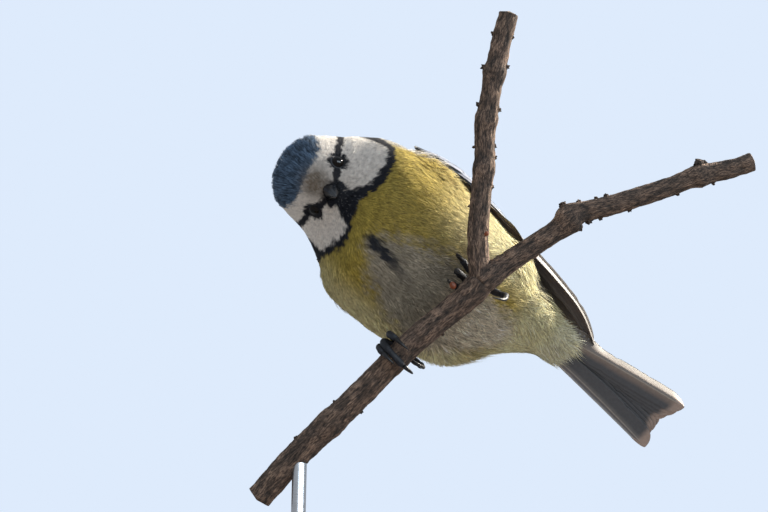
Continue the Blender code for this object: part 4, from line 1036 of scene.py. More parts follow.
class WingSheet:
    """The surface that a folded wing's feathers lie on, from wrist to tip and edge to back."""

    def __init__(self, stations):
        self.stations = stations
        self.front, self.back = stations[0][0], stations[-1][0]
        self.side = 1 if stations[0][1] > 0 else -1

    def at(self, along, across):
        start = self.front - WING_SHOULDER_SLOPE * max(across, 0.0) ** 1.5
        x = start + (self.back - start) * along
        outer_y, outer_z, inner_y, inner_z, swell = sampled(self.stations, x)[0]
        outer = np.array((x, outer_y, outer_z))
        chord = np.array((x, inner_y, inner_z)) - outer
        normal = unit(np.array((0.0, chord[2], -chord[1]))) * self.side
        bulge = swell * 4 * across * (1 - across) if 0 <= across <= 1 else 0.0
        return outer + chord * across + normal * bulge

    def frame(self, along, across, step=0.02):
        """Directions across the feathers and out of the sheet."""
        run = self.at(along + step, across) - self.at(along - step, across)
        over = self.at(along, across + step) - self.at(along, across - step)
        return unit(over), unit(np.cross(run, over)) * self.side

    def feather(self, bag, root, tip, width, level, rows, lean, tint, seed, pointed, curl):
        """One vane from a root to a tip, both given as (along, across) on the sheet."""
        stages = np.linspace(0, 1, rows)
        shape = (np.clip(0.5 + 1.6 * stages, 0, 1)
                 * np.sqrt(np.clip(1.004 - stages ** pointed, 0, 1)))
        route, sides, outward = [], [], []
        for t in stages:
            spot = [a + (b - a) * t for a, b in zip(root, tip)]
            side, normal = self.frame(*spot)
            rise = CORE_LEVEL + (level - CORE_LEVEL) * (1 - (1 - t) ** 2)
            route.append(self.at(*spot) + normal * rise)
            sides.append(side * math.cos(FEATHER_ROLL) - normal * math.sin(FEATHER_ROLL))
            outward.append(normal * math.cos(FEATHER_ROLL) + side * math.sin(FEATHER_ROLL))
        run = unit(route[-1] - route[0])
        sides = [unit(side - run * np.dot(side, run)) for side in sides]
        vane(bag, route, sides, outward, shape * width / 2, lean, tint, seed, curl=curl)


def shaft_line(over, width=0.05):
    return np.exp(-(over / width) ** 2) * 0.8


def flight_tint(settings, edge_width=0.28, tip=0.0, tip_colour="pale_edge", edge=1.0):
    """Dark inner web, coloured outer web, pale outer edge; the underside is greyer, with a painted
    highlight at its outer edge.
    """
    dark, blue, brown, pale, end = (np.array(getattr(settings, key)) for key in (
        "flight", "wing_blue", "worn_edge", "pale_edge", tip_colour))
    if tip_colour == "pale_edge":
        end = end * edge
    pale = pale * edge

    def tint(over, along, upper):
        outer = ease(-over, 0.0, 0.25) * (1 - ease(along, 0.75, 1.0) * 0.6)
        colour = mix(dark, blue, outer * (0.85 if upper else 0.25))
        fringe = ease(-over, 1 - edge_width, 1.0 if edge_width < 1 else 0.25)
        colour = mix(colour, pale, fringe * 0.9)
        colour = mix(colour, pale, ease(over, 0.8, 1.0) * 0.35)
        if tip:
            colour = mix(colour, end, ease(along, 1 - tip, 1 - tip * 0.45))
        if not upper:
            colour = mix(colour * 0.9 + 0.02, brown, 0.3 + 0.55 * ease(-over, -0.7, 0.1))
            # A pale band along the outer edge of the underside: painted highlight of the key light
            # on that edge.
            colour = mix(colour, pale, ease(-over, 0.15, 0.6) * 0.85)
        return mix(colour, dark * 0.45, shaft_line(over))

    return tint


def covert_tint(settings, tip=0.0, worn=0.0):
    """Dark base, blue end and, where tip is given, a whitish tip; with worn given they are painted
    greyer and paler, a painted sheen of the key light.
    """
    blue = np.array(settings.wing_blue) * (1 - worn) + np.array((0.34, 0.35, 0.39)) * worn

    def tint(over, along, upper):
        colour = mix(np.array(settings.flight), blue, ease(along, 0.1, 0.55))
        edge = ease(np.abs(over), 0.3, 1.0) * ease(along, 0.5, 1.0)
        colour = colour * (1 + 0.35 * edge)[:, None]
        if tip:
            colour = mix(colour, np.array(settings.white), ease(along, 1 - tip, 1) * 0.5)
        return colour

    return tint


# The turn of the webs of the outermost flight feathers, in degrees.
PRIMARY_CURLS = (-66.0, 40.0, 30.0, 20.0)


def wing_piece(name, stations, settings, material, seed):
    """A folded wing: flight feathers, tertials, alula and four tiers of coverts."""
    sheet = WingSheet(stations)
    vary = np.random.default_rng(seed)
    bag = Bag()
    plain, narrow = flight_tint(settings), flight_tint(settings, 0.2)
    # edged widens the pale fringe over the whole outer web of each outermost flight feather: real
    # pale edge and painted highlight along the wing's edge.
    edged, worn = flight_tint(settings, 1.3, edge=0.42), covert_tint(settings, worn=0.75)
    # count, first root, last root, first tip, last tip, width, levels, rows, outer web, tint
    tiers = (
        (9, (0.20, 0.03), (0.34, 0.26), (0.985, -0.16), (0.78, 0.22), 3.8, (-1.05, -0.55), 34, 0.36,
         plain),
        (5, (0.30, 0.24), (0.36, 0.70), (0.93, 0.27), (0.82, 0.64), 5.2, (-0.60, -0.30), 32, 0.36,
         plain),
        (7, (0.36, 0.22), (0.40, 0.66), (0.76, 0.20), (0.70, 0.60), 4.8, (-0.25, -0.05), 30, 0.36,
         flight_tint(settings, 0.2, 0.05)),
        (3, (0.38, 0.70), (0.34, 0.92), (0.72, 0.66), (0.56, 0.90), 5.6, (0.00, 0.30), 28, 0.44,
         flight_tint(settings, 0.25, 0.10, "white")),
        (8, (0.10, 0.04), (0.20, 0.20), (0.40, 0.03), (0.36, 0.16), 2.6, (0.05, 0.25), 18, 0.38,
         narrow),
        (10, (0.17, 0.12), (0.20, 0.92), (0.37, 0.13), (0.44, 0.90), 3.9, (0.15, 0.42), 20, 0.42,
         flight_tint(settings, 0.15, 0.20, "white")),
        (3, (0.02, 0.03), (0.05, 0.07), (0.24, 0.02), (0.18, 0.06), 1.9, (0.35, 0.55), 16, 0.4,
         narrow),
        (9, (0.07, 0.10), (0.07, 0.92), (0.25, 0.10), (0.26, 0.90), 4.0, (0.45, 0.72), 16, 0.5,
         covert_tint(settings, 0.14)),
        (9, (0.0, 0.08), (0.0, 0.90), (0.16, 0.07), (0.17, 0.92), 3.6, (0.62, 0.85), 14, 0.5,
         covert_tint(settings)),
        (10, (-0.05, 0.10), (-0.06, 0.94), (0.09, 0.08), (0.10, 0.94), 3.0, (0.70, 0.95), 12, 0.5,
         covert_tint(settings)),
    )
    number = seed * 100
    for tier, (count, *ends, width, levels, steps, lean, tint) in enumerate(tiers):
        flight = tier < 4
        for index in range(count):
            t = index / (count - 1)
            root, tip = ([a + (b - a) * t for a, b in zip(*pair)] for pair in (ends[:2], ends[2:]))
            tip[0] += vary.uniform(-0.006, 0.006)
            level = levels[0] + (levels[1] - levels[0]) * t + vary.uniform(-0.03, 0.03)
            number += 1
            own_lean, own_tint = lean, tint
            if flight and index == 0:
                own_lean, own_tint = 0.54, edged
            # The first three coverts of the upper tiers lie along the wing's edge and take the
            # greyer tint, painted sheen of the key light there.
            elif tier > 5 and index < 3:
                own_tint = worn
            curl = PRIMARY_CURLS[index] if tier == 0 and index < 4 else 0.0
            sheet.feather(bag, root, tip, width * vary.uniform(0.96, 1.04), level, steps, own_lean,
                          own_tint, number, 9.0 if flight else 5.0, curl)
    bag.build(name + "_vanes", material, "wing_feathers", (name,), to_world)


def tail_axis(t):
    bow = 2 * TAIL_MIDDLE - (TAIL_ROOT + TAIL_END) / 2
    return TAIL_ROOT * (1 - t) ** 2 + 2 * t * (1 - t) * bow + TAIL_END * t ** 2


def tail_tint(settings, outermost, place):
    """Dark inner web, blue outer web and worn tip; the outermost feathers are paler and browner,
    and the undersides carry painted light and shade.
    """
    brown, dark, blue, pale = (np.array(getattr(settings, key)) for key in (
        "worn_edge", "flight", "tail_blue", "pale_edge"))
    # The flag lit marks the outermost feather on the key light's side; its underside is painted
    # darker, as painted shade against the sun on it, and gets no pale rim.
    lit = outermost and place > 0

    def tint(over, along, upper):
        along = 1 - (1 - along) ** 1.5
        web = ease(-over, 0.0 if outermost else -0.2, 0.2)
        colour = mix(dark * 1.3, blue, web * (0.9 if upper else 0.35))
        colour = mix(colour, pale, ease(-over, 0.55 if outermost else 0.82, 0.98) * 0.85)
        if not upper:
            colour = colour * 0.9 + 0.075
            web_end = -0.45 if lit else 0.05
            # The webs below are browner on the key light's side: worn brown with painted sunlight.
            worn_and_sunlit_brown = 0.9 if place > 0.6 else 0.35 * outermost
            colour = mix(colour, brown, ease(-over, web_end, web_end + 0.25) * worn_and_sunlit_brown)
            if lit:
                colour = mix(colour, brown * 0.45, ease(-over, -0.2, 0.1))
                colour = mix(colour, pale * 0.3, ease(-over, 0.2, 0.8))
            rim = 0.15 if not outermost else 0.8 if place < 0 else 0.0
            colour = mix(colour, pale, ease(-over, 0.72, 0.95) * rim)
        line = pale * 0.8 if outermost and not upper else dark * 0.7
        colour = mix(colour, line, shaft_line(over, 0.06))
        end = ease(along + 0.012 * np.abs(over), 0.940, 0.972) * 0.9
        # The worn tips are painted lighter below than above, as painted light on the undersides.
        return mix(colour, brown * (1.0 if upper else 1.5), end)

    return tint


def tail_piece(settings, material):
    """Twelve tail feathers that fan a little, the middle pair on top."""
    bag = Bag()
    vary = np.random.default_rng(71)
    middle = (TAIL_FEATHERS - 1) / 2
    stages = 1 - (1 - np.linspace(0, 1, 44)) ** 1.5
    widths = np.interp(stages, (0.0, 0.2, 0.42, 0.64, 0.82, 1.0),
                       (0.30, 0.55, 0.84, 0.98, 1.0, 0.96))
    widths = widths * np.sqrt(1.01 - np.clip((stages - 0.93) / 0.07, 0, 1) ** 2)
    for feather in range(TAIL_FEATHERS):
        place = (feather - middle) / middle
        place = math.copysign(abs(place) ** 0.75, place)
        reach = 1 + TAIL_FORK / TAIL_LENGTH * abs(place) ** 1.5 - vary.uniform(0, 0.016)
        level = TAIL_STEP * (middle - abs(feather - middle)) - 0.7
        outermost = abs(place) > 0.99
        lit = place > 0.7
        route = []
        for t in stages:
            spread = place * (TAIL_ROOT_SPREAD + TAIL_END_SPREAD * (t * reach) ** 1.3)
            route.append(tail_axis(t * reach) + np.array((0, spread, level)))
        side = unit((place * 0.12, 1.0, 0.0)) * (-1 if place > 0 else 1)
        broad = 1.45 if lit and outermost else 1.0
        lean = (0.58 if place > 0 else 0.24) if outermost else 0.36
        vane(bag, route, [side] * len(route), [(0.0, -0.10 * place, 1.0)] * len(route),
             widths * broad * TAIL_FEATHER_WIDTH / 2, lean, tail_tint(settings, outermost, place),
             900 + feather, 0.2, 76.0 if lit and outermost else 58.0 if lit else 30.0 * outermost)
    bag.build("tail_vanes", material, "tail_feathers", ("tail",), to_world)


# ---------------------------------------------------------------- eyes and bill

def eye_pieces(settings):
    """Each eye is a wet ball with a brown iris, held by a rim of beaded lids."""
    ball_material, lid_material = eye_material("eye_wet"), scaly_material("lid_skin")
    arc = np.linspace(-math.pi / 2, math.pi / 2, 41)
    places, faces = lathe(np.stack([np.cos(arc), np.sin(arc)], axis=1), 64)
    bulge = EYE_RADIUS * (1 + 0.05 * np.exp(-((1 - places[:, 2:]) / 0.16) ** 2))
    off = np.degrees(np.arccos(np.clip(places[:, 2], -1, 1)))
    tints = mix(np.array(settings.pupil), np.array(settings.iris),
                ease(off, 22, 27) * (1 - ease(off, 48, 58) * 0.8))
    around, beads = round_angles(96)[:, None], 10
    radius = EYE_RADIUS * 0.92 - 0.10 * np.abs(np.sin(around)) ** 3
    height = np.sqrt(EYE_RADIUS ** 2 - radius ** 2)
    thick = 0.24 + 0.04 * np.sin(around * 24)
    turn = round_angles(beads)[None]
    wide, tall = radius + thick * 1.25 * np.cos(turn), height + thick * 0.8 * np.sin(turn)
    rim = np.stack([wide * np.cos(around), wide * np.sin(around), tall], axis=-1).reshape(-1, 3)
    rim_faces = grid_faces(97, beads, wrap=True) % len(rim)
    for label, spot, look in zip(("left", "right"), EYE_SPOTS, unit(EYE_LOOKS)):
        first = unit(np.cross(look, (0.0, 0.0, 1.0)))
        axes = np.array((first, np.cross(look, first), look))
        centre = spot - look * EYE_DEPTH
        bag = Bag()
        bag.add(centre + places @ axes * bulge, faces, tints=tints)
        bag.build("eyeball_" + label, ball_material, "eye", ("eye_" + label,), head_to_world)
        lids = Bag()
        lids.add(centre + rim @ axes, rim_faces, tints=settings.lid)
        lids.build("lids_" + label, lid_material, "eye", (), head_to_world)


def bill_half(settings, material, upper):
    """One horn half with a soft ridge, a pale edge and, above, sunk nostrils, with painted light
    and shade.
    """
    rings, sides = 36, 28
    sign = 1 if upper else -1
    length = BILL_TIP - BILL_BASE - (0 if upper else LOWER_BILL_SHORT)
    height = CULMEN_HEIGHT if upper else GONYS_DEPTH
    t = np.linspace(-0.14, 1, rings)[:, None]
    angle = np.linspace(0, math.pi, sides + 1)[None]
    near = np.maximum(t, 0.0)
    crest = np.exp(-((angle - math.pi / 2) / 0.3) ** 2)
    ridge = 1 + (0.05 if upper else -0.02) * np.cos(2 * (angle - math.pi / 2)) + 0.07 * crest
    rise = np.sin(angle) ** (0.92 if upper else 1.0)
    width = BILL_HALF_WIDTH * ((1 - near ** 1.15) * 0.96 + 0.04)
    over = 0.10 * (1 - near) * (1 - rise) if upper else 0.0
    x = BILL_BASE + length * t + 0 * angle
    y = BILL_SIDE + (width + over) * np.cos(angle)
    z = BILL_GAPE - BILL_GAPE_DROP * near + sign * 0.07
    z = z + sign * height * ((1 - near ** 1.55) * 0.96 + 0.04) * rise * ridge
    if upper:
        hole = np.hypot(x - BILL_BASE - 1.15, (np.abs(y - BILL_SIDE) - 1.35) * 0.9)
        z = z - 0.12 * (1 - rise) - 0.32 * np.exp(-(hole / 0.38) ** 2)
    lip = np.maximum(0.0, 1 - rise * 3.0)[..., None]
    # The lower half is painted at half the upper's brightness as painted shade, and the crest gets
    # a painted highlight along the ridge.
    base = np.array(settings.bill) * (0.6 if upper else 0.3)
    tints = (base * (1 - lip) * (0.8 + 1.4 * crest[..., None]) + np.array(settings.bill_edge) * lip
             + 0.006 * near[..., None])
    faces = grid_faces(rings, sides + 1, wrap=True).tolist()
    faces += [list(range(x.size - sides - 1, x.size)), list(range(sides, -1, -1))]
    bag = Bag()
    bag.add(np.stack([x, y, z], axis=-1).reshape(-1, 3),
            faces if upper else [face[::-1] for face in faces], tints=tints.reshape(-1, 3))
    name = "bill_upper" if upper else "bill_lower"
    bag.build(name + "_horn", material, "bill", (name,), head_to_world)


def bill_pieces(settings):
    """Stout horn halves, bristles at the gape and a ring of short ones round the base."""
    material = horn_material("bill_horn", 0.2)
    bill_half(settings, material, True)
    bill_half(settings, material, False)
    bristles = Bag()
    vary = np.random.default_rng(41)

    def bristle(root, step, bend, thick, thin, count):
        t = np.linspace(0, 1, count)[:, None]
        bristles.add(*limb(root + step * t + bend * t ** 2, thick * (1 - thin * t[:, 0]), 5),
                     settings.black)

    for side in (1, -1):
        for _ in range(15):
            root = np.array((BILL_BASE + vary.uniform(-0.7, 0.3),
                             BILL_SIDE + side * vary.uniform(1.7, 2.15),
                             BILL_GAPE + vary.uniform(-0.7, 1.5)))
            way = unit((vary.uniform(0.8, 1.0), side * vary.uniform(0.1, 0.55),
                        vary.uniform(-0.5, 0.1)))
            bend = np.array((0.0, 0.0, -vary.uniform(0.1, 0.6)))
            bristle(root, way * vary.uniform(1.4, 2.6), bend, 0.055, 0.85, 7)
    for _ in range(52):
        angle = vary.uniform(0, TAU)
        flat, tall = math.cos(angle), math.sin(angle)
        root = np.array((BILL_BASE - vary.uniform(0.1, 0.6), BILL_SIDE + 2.1 * flat,
                         BILL_GAPE + 1.95 * tall))
        way = unit((1.0, vary.normal(-0.3 * flat, 0.2), vary.normal(-0.3 * tall, 0.2)))
        bristle(root, way * vary.uniform(1.0, 2.1), 0.0, 0.075, 0.8, 6)
    bristles.build("bill_bristles", horn_material("bristle"), "bill", (), head_to_world)


# ---------------------------------------------------------------- feet

TWIG_AXIS = unit(STEM_DIRECTION)


def off_axis(vectors):
    """Vectors without their share along the twig."""
    vectors = np.asarray(vectors)
    return vectors - (vectors @ TWIG_AXIS)[..., None] * TWIG_AXIS


TWIG_FRONT = unit(off_axis(TOWARD_FRONT))
TWIG_UPPER = unit(np.cross(TWIG_FRONT, TWIG_AXIS))


def round_twig(grip, along, angle, reach):
    """A place beside the twig: along it, round it and out from its axis."""
    turn = math.radians(angle)
    outward = TWIG_FRONT * math.cos(turn) + TWIG_UPPER * math.sin(turn)
    return np.array(grip["place"]) + TWIG_AXIS * along + outward * reach


def scutes(length, pitch, height):
    """Rings of overlapping plates on the upper side of a toe or shin, with pads below."""
    def shape(run, angle):
        plate = (1 - (run / pitch) % 1.0) ** 0.6 * np.clip(np.cos(angle), 0, 1) ** 0.5
        pad = 1.3 * np.abs(np.sin(run / length * math.pi * 3)) * np.clip(-np.cos(angle), 0, 1)
        return 1 + height * (plate + pad)
    return shape


def foot_pieces(side, settings, skin_material, claw_material):
    """One foot: the scaly shin and four toes that grip the twig, with their claws."""
    grip = GRIPS[side]
    reach = grip["radius"] + TOE_RADIUS + SOLE_GAP
    sole = round_twig(grip, grip["sole"], 176, reach + 0.5)
    heel = to_world(grip["heel"]) / MM
    skin = np.array(settings.leg)
    bag = Bag()
    shin = smooth_route([heel, heel * 0.5 + sole * 0.5, sole], 0.2)
    bag.add(*limb(shin, np.full(len(shin), TARSUS_RADIUS * 0.92), 24, TOWARD_FRONT,
                  scutes(18.0, 1.5, 0.09)), skin)
    claws = []
    for toe, (start, end, claw_tip) in grip["toes"].items():
        places = [sole]
        for t in np.linspace(0, 1, 9):
            along, angle, lift = [a + (b - a) * t for a, b in zip(start, end)]
            places.append(round_twig(grip, along, angle, reach + 0.06 + lift))
        route = smooth_route(places, 0.11)
        t = np.linspace(0, 1, len(route))
        radii = TOE_RADIUS * (1.0 - 0.24 * t) * (1 + 0.07 * np.cos(t * 3.2 * TAU))
        radii[-6:] *= np.linspace(1, 0.72, 6)
        points, faces, grain = limb(route, radii, 24, off_axis(route[0] - np.array(grip["place"])),
                                    scutes(len(route) * 0.11, 0.75, 0.10))
        shade = 1 + 0.25 * ripple(points, 1.6, 31)[:, None]
        bag.add(points, faces, grain, np.clip(skin * shade, 0, 1))
        length = REAR_CLAW_LENGTH if toe == "rear" else CLAW_LENGTH
        claws.append(("claw_" + side + "_" + toe,
                      claw_mesh(grip, start, end, claw_tip, length, reach, settings)))
    bag.build("foot_" + side, skin_material, "leg_skin", ("leg_" + side,))
    for node, (points, faces, tints) in claws:
        claw = Bag()
        claw.add(points, faces, tints=tints)
        claw.build(node + "_horn", claw_material, "claw", (node,))


def claw_mesh(grip, start, end, claw_tip, length, reach, settings):
    """A claw: a tapered, side-pressed hook that carries on round the twig from its toe's end."""
    turn = 1 if end[1] > start[1] else -1
    first = end[1] + turn * math.degrees((0.3 + TOE_RADIUS * 0.5) / reach)
    sweep = turn * math.degrees(length / reach)
    t = np.linspace(-0.12, 1, 30)
    near = np.clip(t, 0, 1)
    arch = (0.10 + end[2] * (1 - 0.5 * near * near) + 0.75 * np.sin(near * math.pi * 0.62)
            - 0.5 * near ** 3)
    along = end[0] + (claw_tip - end[0]) * t
    route = [round_twig(grip, along[row], first + sweep * t[row], reach + arch[row])
             for row in range(len(t))]
    points, faces, _ = limb(route, TOE_RADIUS * (0.68 - 0.62 * near ** 1.15), 18,
                            unit(off_axis(route[0] - np.array(grip["place"]))),
                            lambda run, angle: 1.0 + 0.16 * np.cos(2 * angle) + 0 * run)
    share = np.concatenate([np.repeat(near, 18), [0, 1]])
    tints = mix(np.array(settings.claw), np.array(settings.claw_tip), share ** 2 * 0.7)
    return points, faces, tints


# ---------------------------------------------------------------- twig

def stub(bag, place, tangent, edge, radius, height, seed):
    """A small rough knob where a leaf or side twig has dropped off."""
    out = unit(-np.cross(tangent, TOWARD_FRONT)) * edge
    t = np.linspace(0, 1, 12)
    rise = radius - 0.9 + (height * 0.6 + 0.9) * t
    route = place + np.outer(rise, out) + np.outer(0.25 * height * t, tangent)
    points, faces, grain = limb(route, (height + 0.25) * (1.0 - 0.6 * t ** 1.5), 16, tangent)
    points = points + (points - route.mean(axis=0)) * (0.30 * ripple(points, 0.5, seed))[:, None]
    bag.add(points, faces, grain, 0.34 + 0.2 * ripple(points, 0.3, seed + 1)[:, None] * np.ones(3))


# Layers of the bark's height: pitch round the twig, pitch along it, seed step and share.
BARK_LAYERS = ((3.8, 0.30, 9, 0.62), (8.5, 1.1, 17, 0.34), (1.5, 0.55, 5, 0.75))


def bark_height(c, s, along, seed):
    """Ridges, finer ridges, lumps and cracks at a place round and along the twig."""
    height = sum(noise.noise(Vector((c * pitch, s * pitch, along * run + seed * step))) * share
                 for pitch, run, step, share in BARK_LAYERS)
    crack = abs(noise.noise(Vector((c * 3.6, s * 3.6, along * 0.55 + seed * 29))))
    return height - math.exp(-(crack / 0.06) ** 2) * 0.42


def twig_arm(name, node, route, base_radius, taper, swellings, stubs, seed, settings, material):
    """A length of twig with ridged, cracked bark, knots, small pores and leaf scars."""
    places = smooth_route(route, 0.34)
    ridge = settings.bark_ridge / MM
    share = np.linspace(0, 1, len(places))
    radii = base_radius * (1 + (taper - 1) * share)
    for place, height, spread in swellings:
        radii = radii + height * np.exp(-((share - place) / spread) ** 2)
    sides = 84
    points, faces, grain = limb(places, radii - ridge * 0.35, sides)
    body = points[:-2]
    tangents = carried_frames(places, (0.0, 0.0, 1.0))[0]
    outward = unit(body - np.repeat(places, sides, axis=0))
    run = grain[:-2, 2]
    angle = np.arctan2(grain[:-2, 1], grain[:-2, 0])
    vary = np.random.default_rng(seed)
    pores = [(vary.uniform(0, run.max()), vary.uniform(-math.pi, math.pi), vary.uniform(0.15, 0.34))
             for _ in range(int(run.max() * 1.1))]
    offset = np.array([bark_height(math.cos(a), math.sin(a), along, seed)
                       for a, along in zip(angle.tolist(), run.tolist())]) * ridge
    for place, turn, size in pores:
        wide = np.angle(np.exp(1j * (angle - turn))) * base_radius
        offset += 0.16 * np.exp(-(((run - place) / (size * 0.6)) ** 2 + (wide / size) ** 2))
    points[:-2] = body + outward * offset[:, None]
    scars = np.zeros(len(body))
    for share, _, height in stubs:
        here = np.exp(-((run - share * run.max()) / 0.35) ** 2) * min(height * 1.3, 0.8)
        scars = np.maximum(scars, here)
    tone = np.ones(len(points))
    tone[:-2] += 0.55 * np.clip(offset / ridge + 0.2, -1, 1)
    tone[:-2] *= 1 - 0.6 * scars * (0.6 + 0.4 * np.sin(angle * 7 + run * 2))
    bag = Bag()
    bag.add(points, faces, grain, np.clip(tone * 0.62, 0, 1)[:, None])
    for index, (share, edge, height) in enumerate(stubs):
        row = int(share * (len(places) - 1))
        stub(bag, places[row], tangents[row], edge, radii[row], height, seed * 40 + index * 2)
    bag.build(name, material, "bark", (node,))
    return places, tangents, radii


def bud(bag, place, out, along, size, tint):
    """A small pointed bud of overlapping scales."""
    out, along = unit(out), unit(along)
    side = np.cross(out, along)
    t = np.linspace(0, 1, 14)
    for layer in range(4):
        turn = layer * 1.9
        stray = side * math.cos(turn) + along * math.sin(turn)
        lean = unit(out * 0.8 + along * 0.6 + stray * 0.10)
        route = np.array(place) + lean * (t * size * (1 - 0.08 * layer))[:, None]
        swell = np.sin(np.clip(t * 1.08, 0, 1) * math.pi) ** 0.6 * size * 0.36 * (1 - 0.06 * layer)
        bag.add(*limb(route, swell + 0.02, 18, side,
                      lambda run, angle: 1 + 0.06 * np.cos(angle * 3 + turn) + 0 * run),
                np.array(tint) * (0.8 + 0.12 * layer))


def cut_face(bag, centre, normal, radius, seed, tint):
    """The cut end of the twig: a shallow dome with growth rings and pith."""
    first = unit(np.cross(normal, (0.0, 1.0, 0.2)))
    rings, sides = 16, 60
    share, angle = np.linspace(0, 1, rings + 1)[1:, None], round_angles(sides)[None]
    wide = radius * 0.93 * share * (1 + 0.02 * np.sin(angle * 3 + seed))
    points = (first * (wide * np.cos(angle))[..., None]
              + np.cross(normal, first) * (wide * np.sin(angle))[..., None]
              + normal * (0.18 * (1 - share ** 6))[..., None])
    tone = ((0.82 + 0.18 * np.cos(share * 26)) * (1 - 0.7 * ease(share, 0.86, 0.95))
            * (0.55 + 0.45 * ease(share, 0.10, 0.18)))
    faces = [(0, 1 + step, 1 + (step + 1) % sides) for step in range(sides)]
    faces += (grid_faces(rings, sides, wrap=True)[:, [0, 3, 2, 1]] + 1).tolist()
    bag.add(centre + np.concatenate([[normal * 0.18], points.reshape(-1, 3)]), faces,
            tints=np.concatenate([[0.45], np.repeat(tone[:, 0], sides)])[:, None] * np.array(tint))


def twig_pieces(settings):
    """The three arms of the forked twig, their cut ends and two buds."""
    material = bark_material("twig_bark", settings.bark_dark, settings.bark_pale)
    ends = Bag()
    for seed, arm in enumerate(TWIG_ARMS, 1):
        places, tangents, radii = twig_arm(*arm, seed, settings, material)
        tip, way = (0, -tangents[0]) if arm[0] == "twig_stem" else (-1, tangents[-1])
        cut_face(ends, places[tip], way, radii[tip], seed, settings.cut_wood)
    ends.build("twig_cut_ends", horn_material("cut_wood", 0.7, 0.2, 700.0), "bark", ())
    buds = Bag()
    for row in BUDS:
        bud(buds, *row, settings.bud)
    buds.build("twig_buds", horn_material("bud_scales", 0.5, 0.3, 1200.0), "bark", ())


# ---------------------------------------------------------------- stand and stage

def turned_piece(name, profile, sides, material, slot, node, place=0.0, more=()):
    """A lathed piece of the stand, with more points and faces fixed to it."""
    bag = Bag()
    points, faces = lathe(profile, sides)
    bag.add(points + place, faces)
    if more:
        bag.add(*more)
    bag.build(name, material, slot, (node,))


def stand_pieces(settings):
    """A turned wooden foot with a bead and a cove, a steel rod and its collar with a set screw."""
    top, edge, shoulder = FOOT_HEIGHT, FOOT_RADIUS, FOOT_RADIUS - 4.8
    profile = [(0.0, top), (COLLAR_RADIUS, top)]
    profile += [(8 + (shoulder - 8) * t, top - 0.25 * math.sin(t * math.pi))
                for t in np.linspace(0, 1, 24)]
    profile += [(shoulder + 4.6 * math.sin(angle), top - 4.8 + 4.8 * math.cos(angle))
                for angle in np.linspace(0, math.pi / 2, 17)[1:]]
    profile += [(edge - 0.35, 3.9), (edge - 1.0, 3.6), (edge - 0.35, 3.3)]
    profile += [(edge - 1.2 + 1.2 * math.sin(angle) ** 0.8, 1.6 + 1.6 * math.cos(angle))
                for angle in np.linspace(0, math.pi, 13)[:-1]]
    profile += [(edge - 1.2, 0.0), (0.0, 0.0)]
    points, faces = lathe(profile, 160)
    foot = Bag()
    foot.add(points, [face[::-1] for face in faces])
    foot.build("stand_foot", wood_material("stand_oiled_wood", settings.wood), "stand_wood",
               ("stand_base",))

    steel = steel_material("stand_brushed_steel", settings.steel)
    base, rod, collar = top + 0.02, ROD_RADIUS, COLLAR_RADIUS
    end = float(np.array(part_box("stand_rod")[1])[2]) / MM
    turned_piece("stand_rod_steel",
                 [(0.0, base), (rod, base), (rod, end - 0.2), (rod, end), (0.0, end)], 40, steel,
                 "stand_steel", "stand_rod", ROD_PLACE)
    screw = [(0.0, 0.0), (1.05, 0.0), (1.05, 0.5), (0.85, 0.7), (0.45, 0.7), (0.4, 0.25),
             (0.0, 0.2)]
    points, faces = lathe(screw, 24)
    points = np.stack([points[:, 0], -points[:, 2] - collar + 0.05, points[:, 1]], axis=1)
    high = base + COLLAR_HEIGHT
    turned_piece("stand_collar_steel",
                 [(0.0, base), (collar - 0.4, base), (collar, base + 0.4), (collar, high - 0.7),
                  (collar - 0.2, high - 0.3), (collar - 0.7, high), (rod + 0.45, high),
                  (rod + 0.1, high - 0.3), (0.0, high - 0.35)], 64, steel, "stand_steel",
                 "stand_collar", ROD_PLACE,
                 (points + ROD_PLACE + (0.0, 0.0, base + COLLAR_HEIGHT / 2), faces))


def placed(name, data, place=(0.0, 0.0, 0.0), toward=None):
    """An object in the scene, whose back looks toward a direction where one is given."""
    thing = bpy.data.objects.new(name, data)
    thing.location = place
    if toward is not None:
        thing.rotation_euler = Vector(toward).to_track_quat("Z", "Y").to_euler()
    bpy.context.scene.collection.objects.link(thing)
    return thing


def floor_piece(settings):
    """A wide pale floor that throws no light back."""
    axis = np.linspace(-FLOOR_HALF, FLOOR_HALF, FLOOR_LINES)
    x, y = np.meshgrid(axis, axis, indexing="ij")
    mesh = bpy.data.meshes.new("floor")
    mesh.from_pydata(np.stack([x.ravel(), y.ravel(), 0 * x.ravel()], axis=1).tolist(), [],
                     grid_faces(FLOOR_LINES, FLOOR_LINES).tolist())
    floor = placed("floor", mesh)
    recipe = Recipe("floor_paper", 0.9)
    recipe.feed("Base Color", recipe.ramp(recipe.noise(recipe.place(), 40.0),
                                          [v * 0.96 for v in settings.floor], settings.floor))
    mesh.materials.append(recipe.material)
    floor.visible_diffuse = False
    floor.visible_glossy = False
    floor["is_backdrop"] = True


def surround(settings):
    """A plain pale blue to look at, and soft light that is cooler from above."""
    world = bpy.data.worlds.new("pale_surround")
    bpy.context.scene.world = world
    world.use_nodes = True
    world.node_tree.nodes.clear()
    wires = Wires(world.node_tree)
    way = wires.node("TexCoord").outputs["Generated"]
    height = wires.node("SeparateXYZ", {0: way}).outputs["Z"]
    light = wires.ramp(wires.ranged(height, 0.0, 1.0, -1.0, 1.0), settings.fill_low,
                       settings.fill_high, 0.35, 0.75)
    fill = wires.node("Background", {"Color": light}, Strength=settings.fill)
    seen = wires.node("Background", Color=(*settings.surround, 1), Strength=1.0)
    rays = wires.node("LightPath").outputs["Is Camera Ray"]
    blend = wires.node("MixShader", {0: rays, 1: fill.outputs[0], 2: seen.outputs[0]})
    wires.node("OutputWorld", {"Surface": blend.outputs[0]})


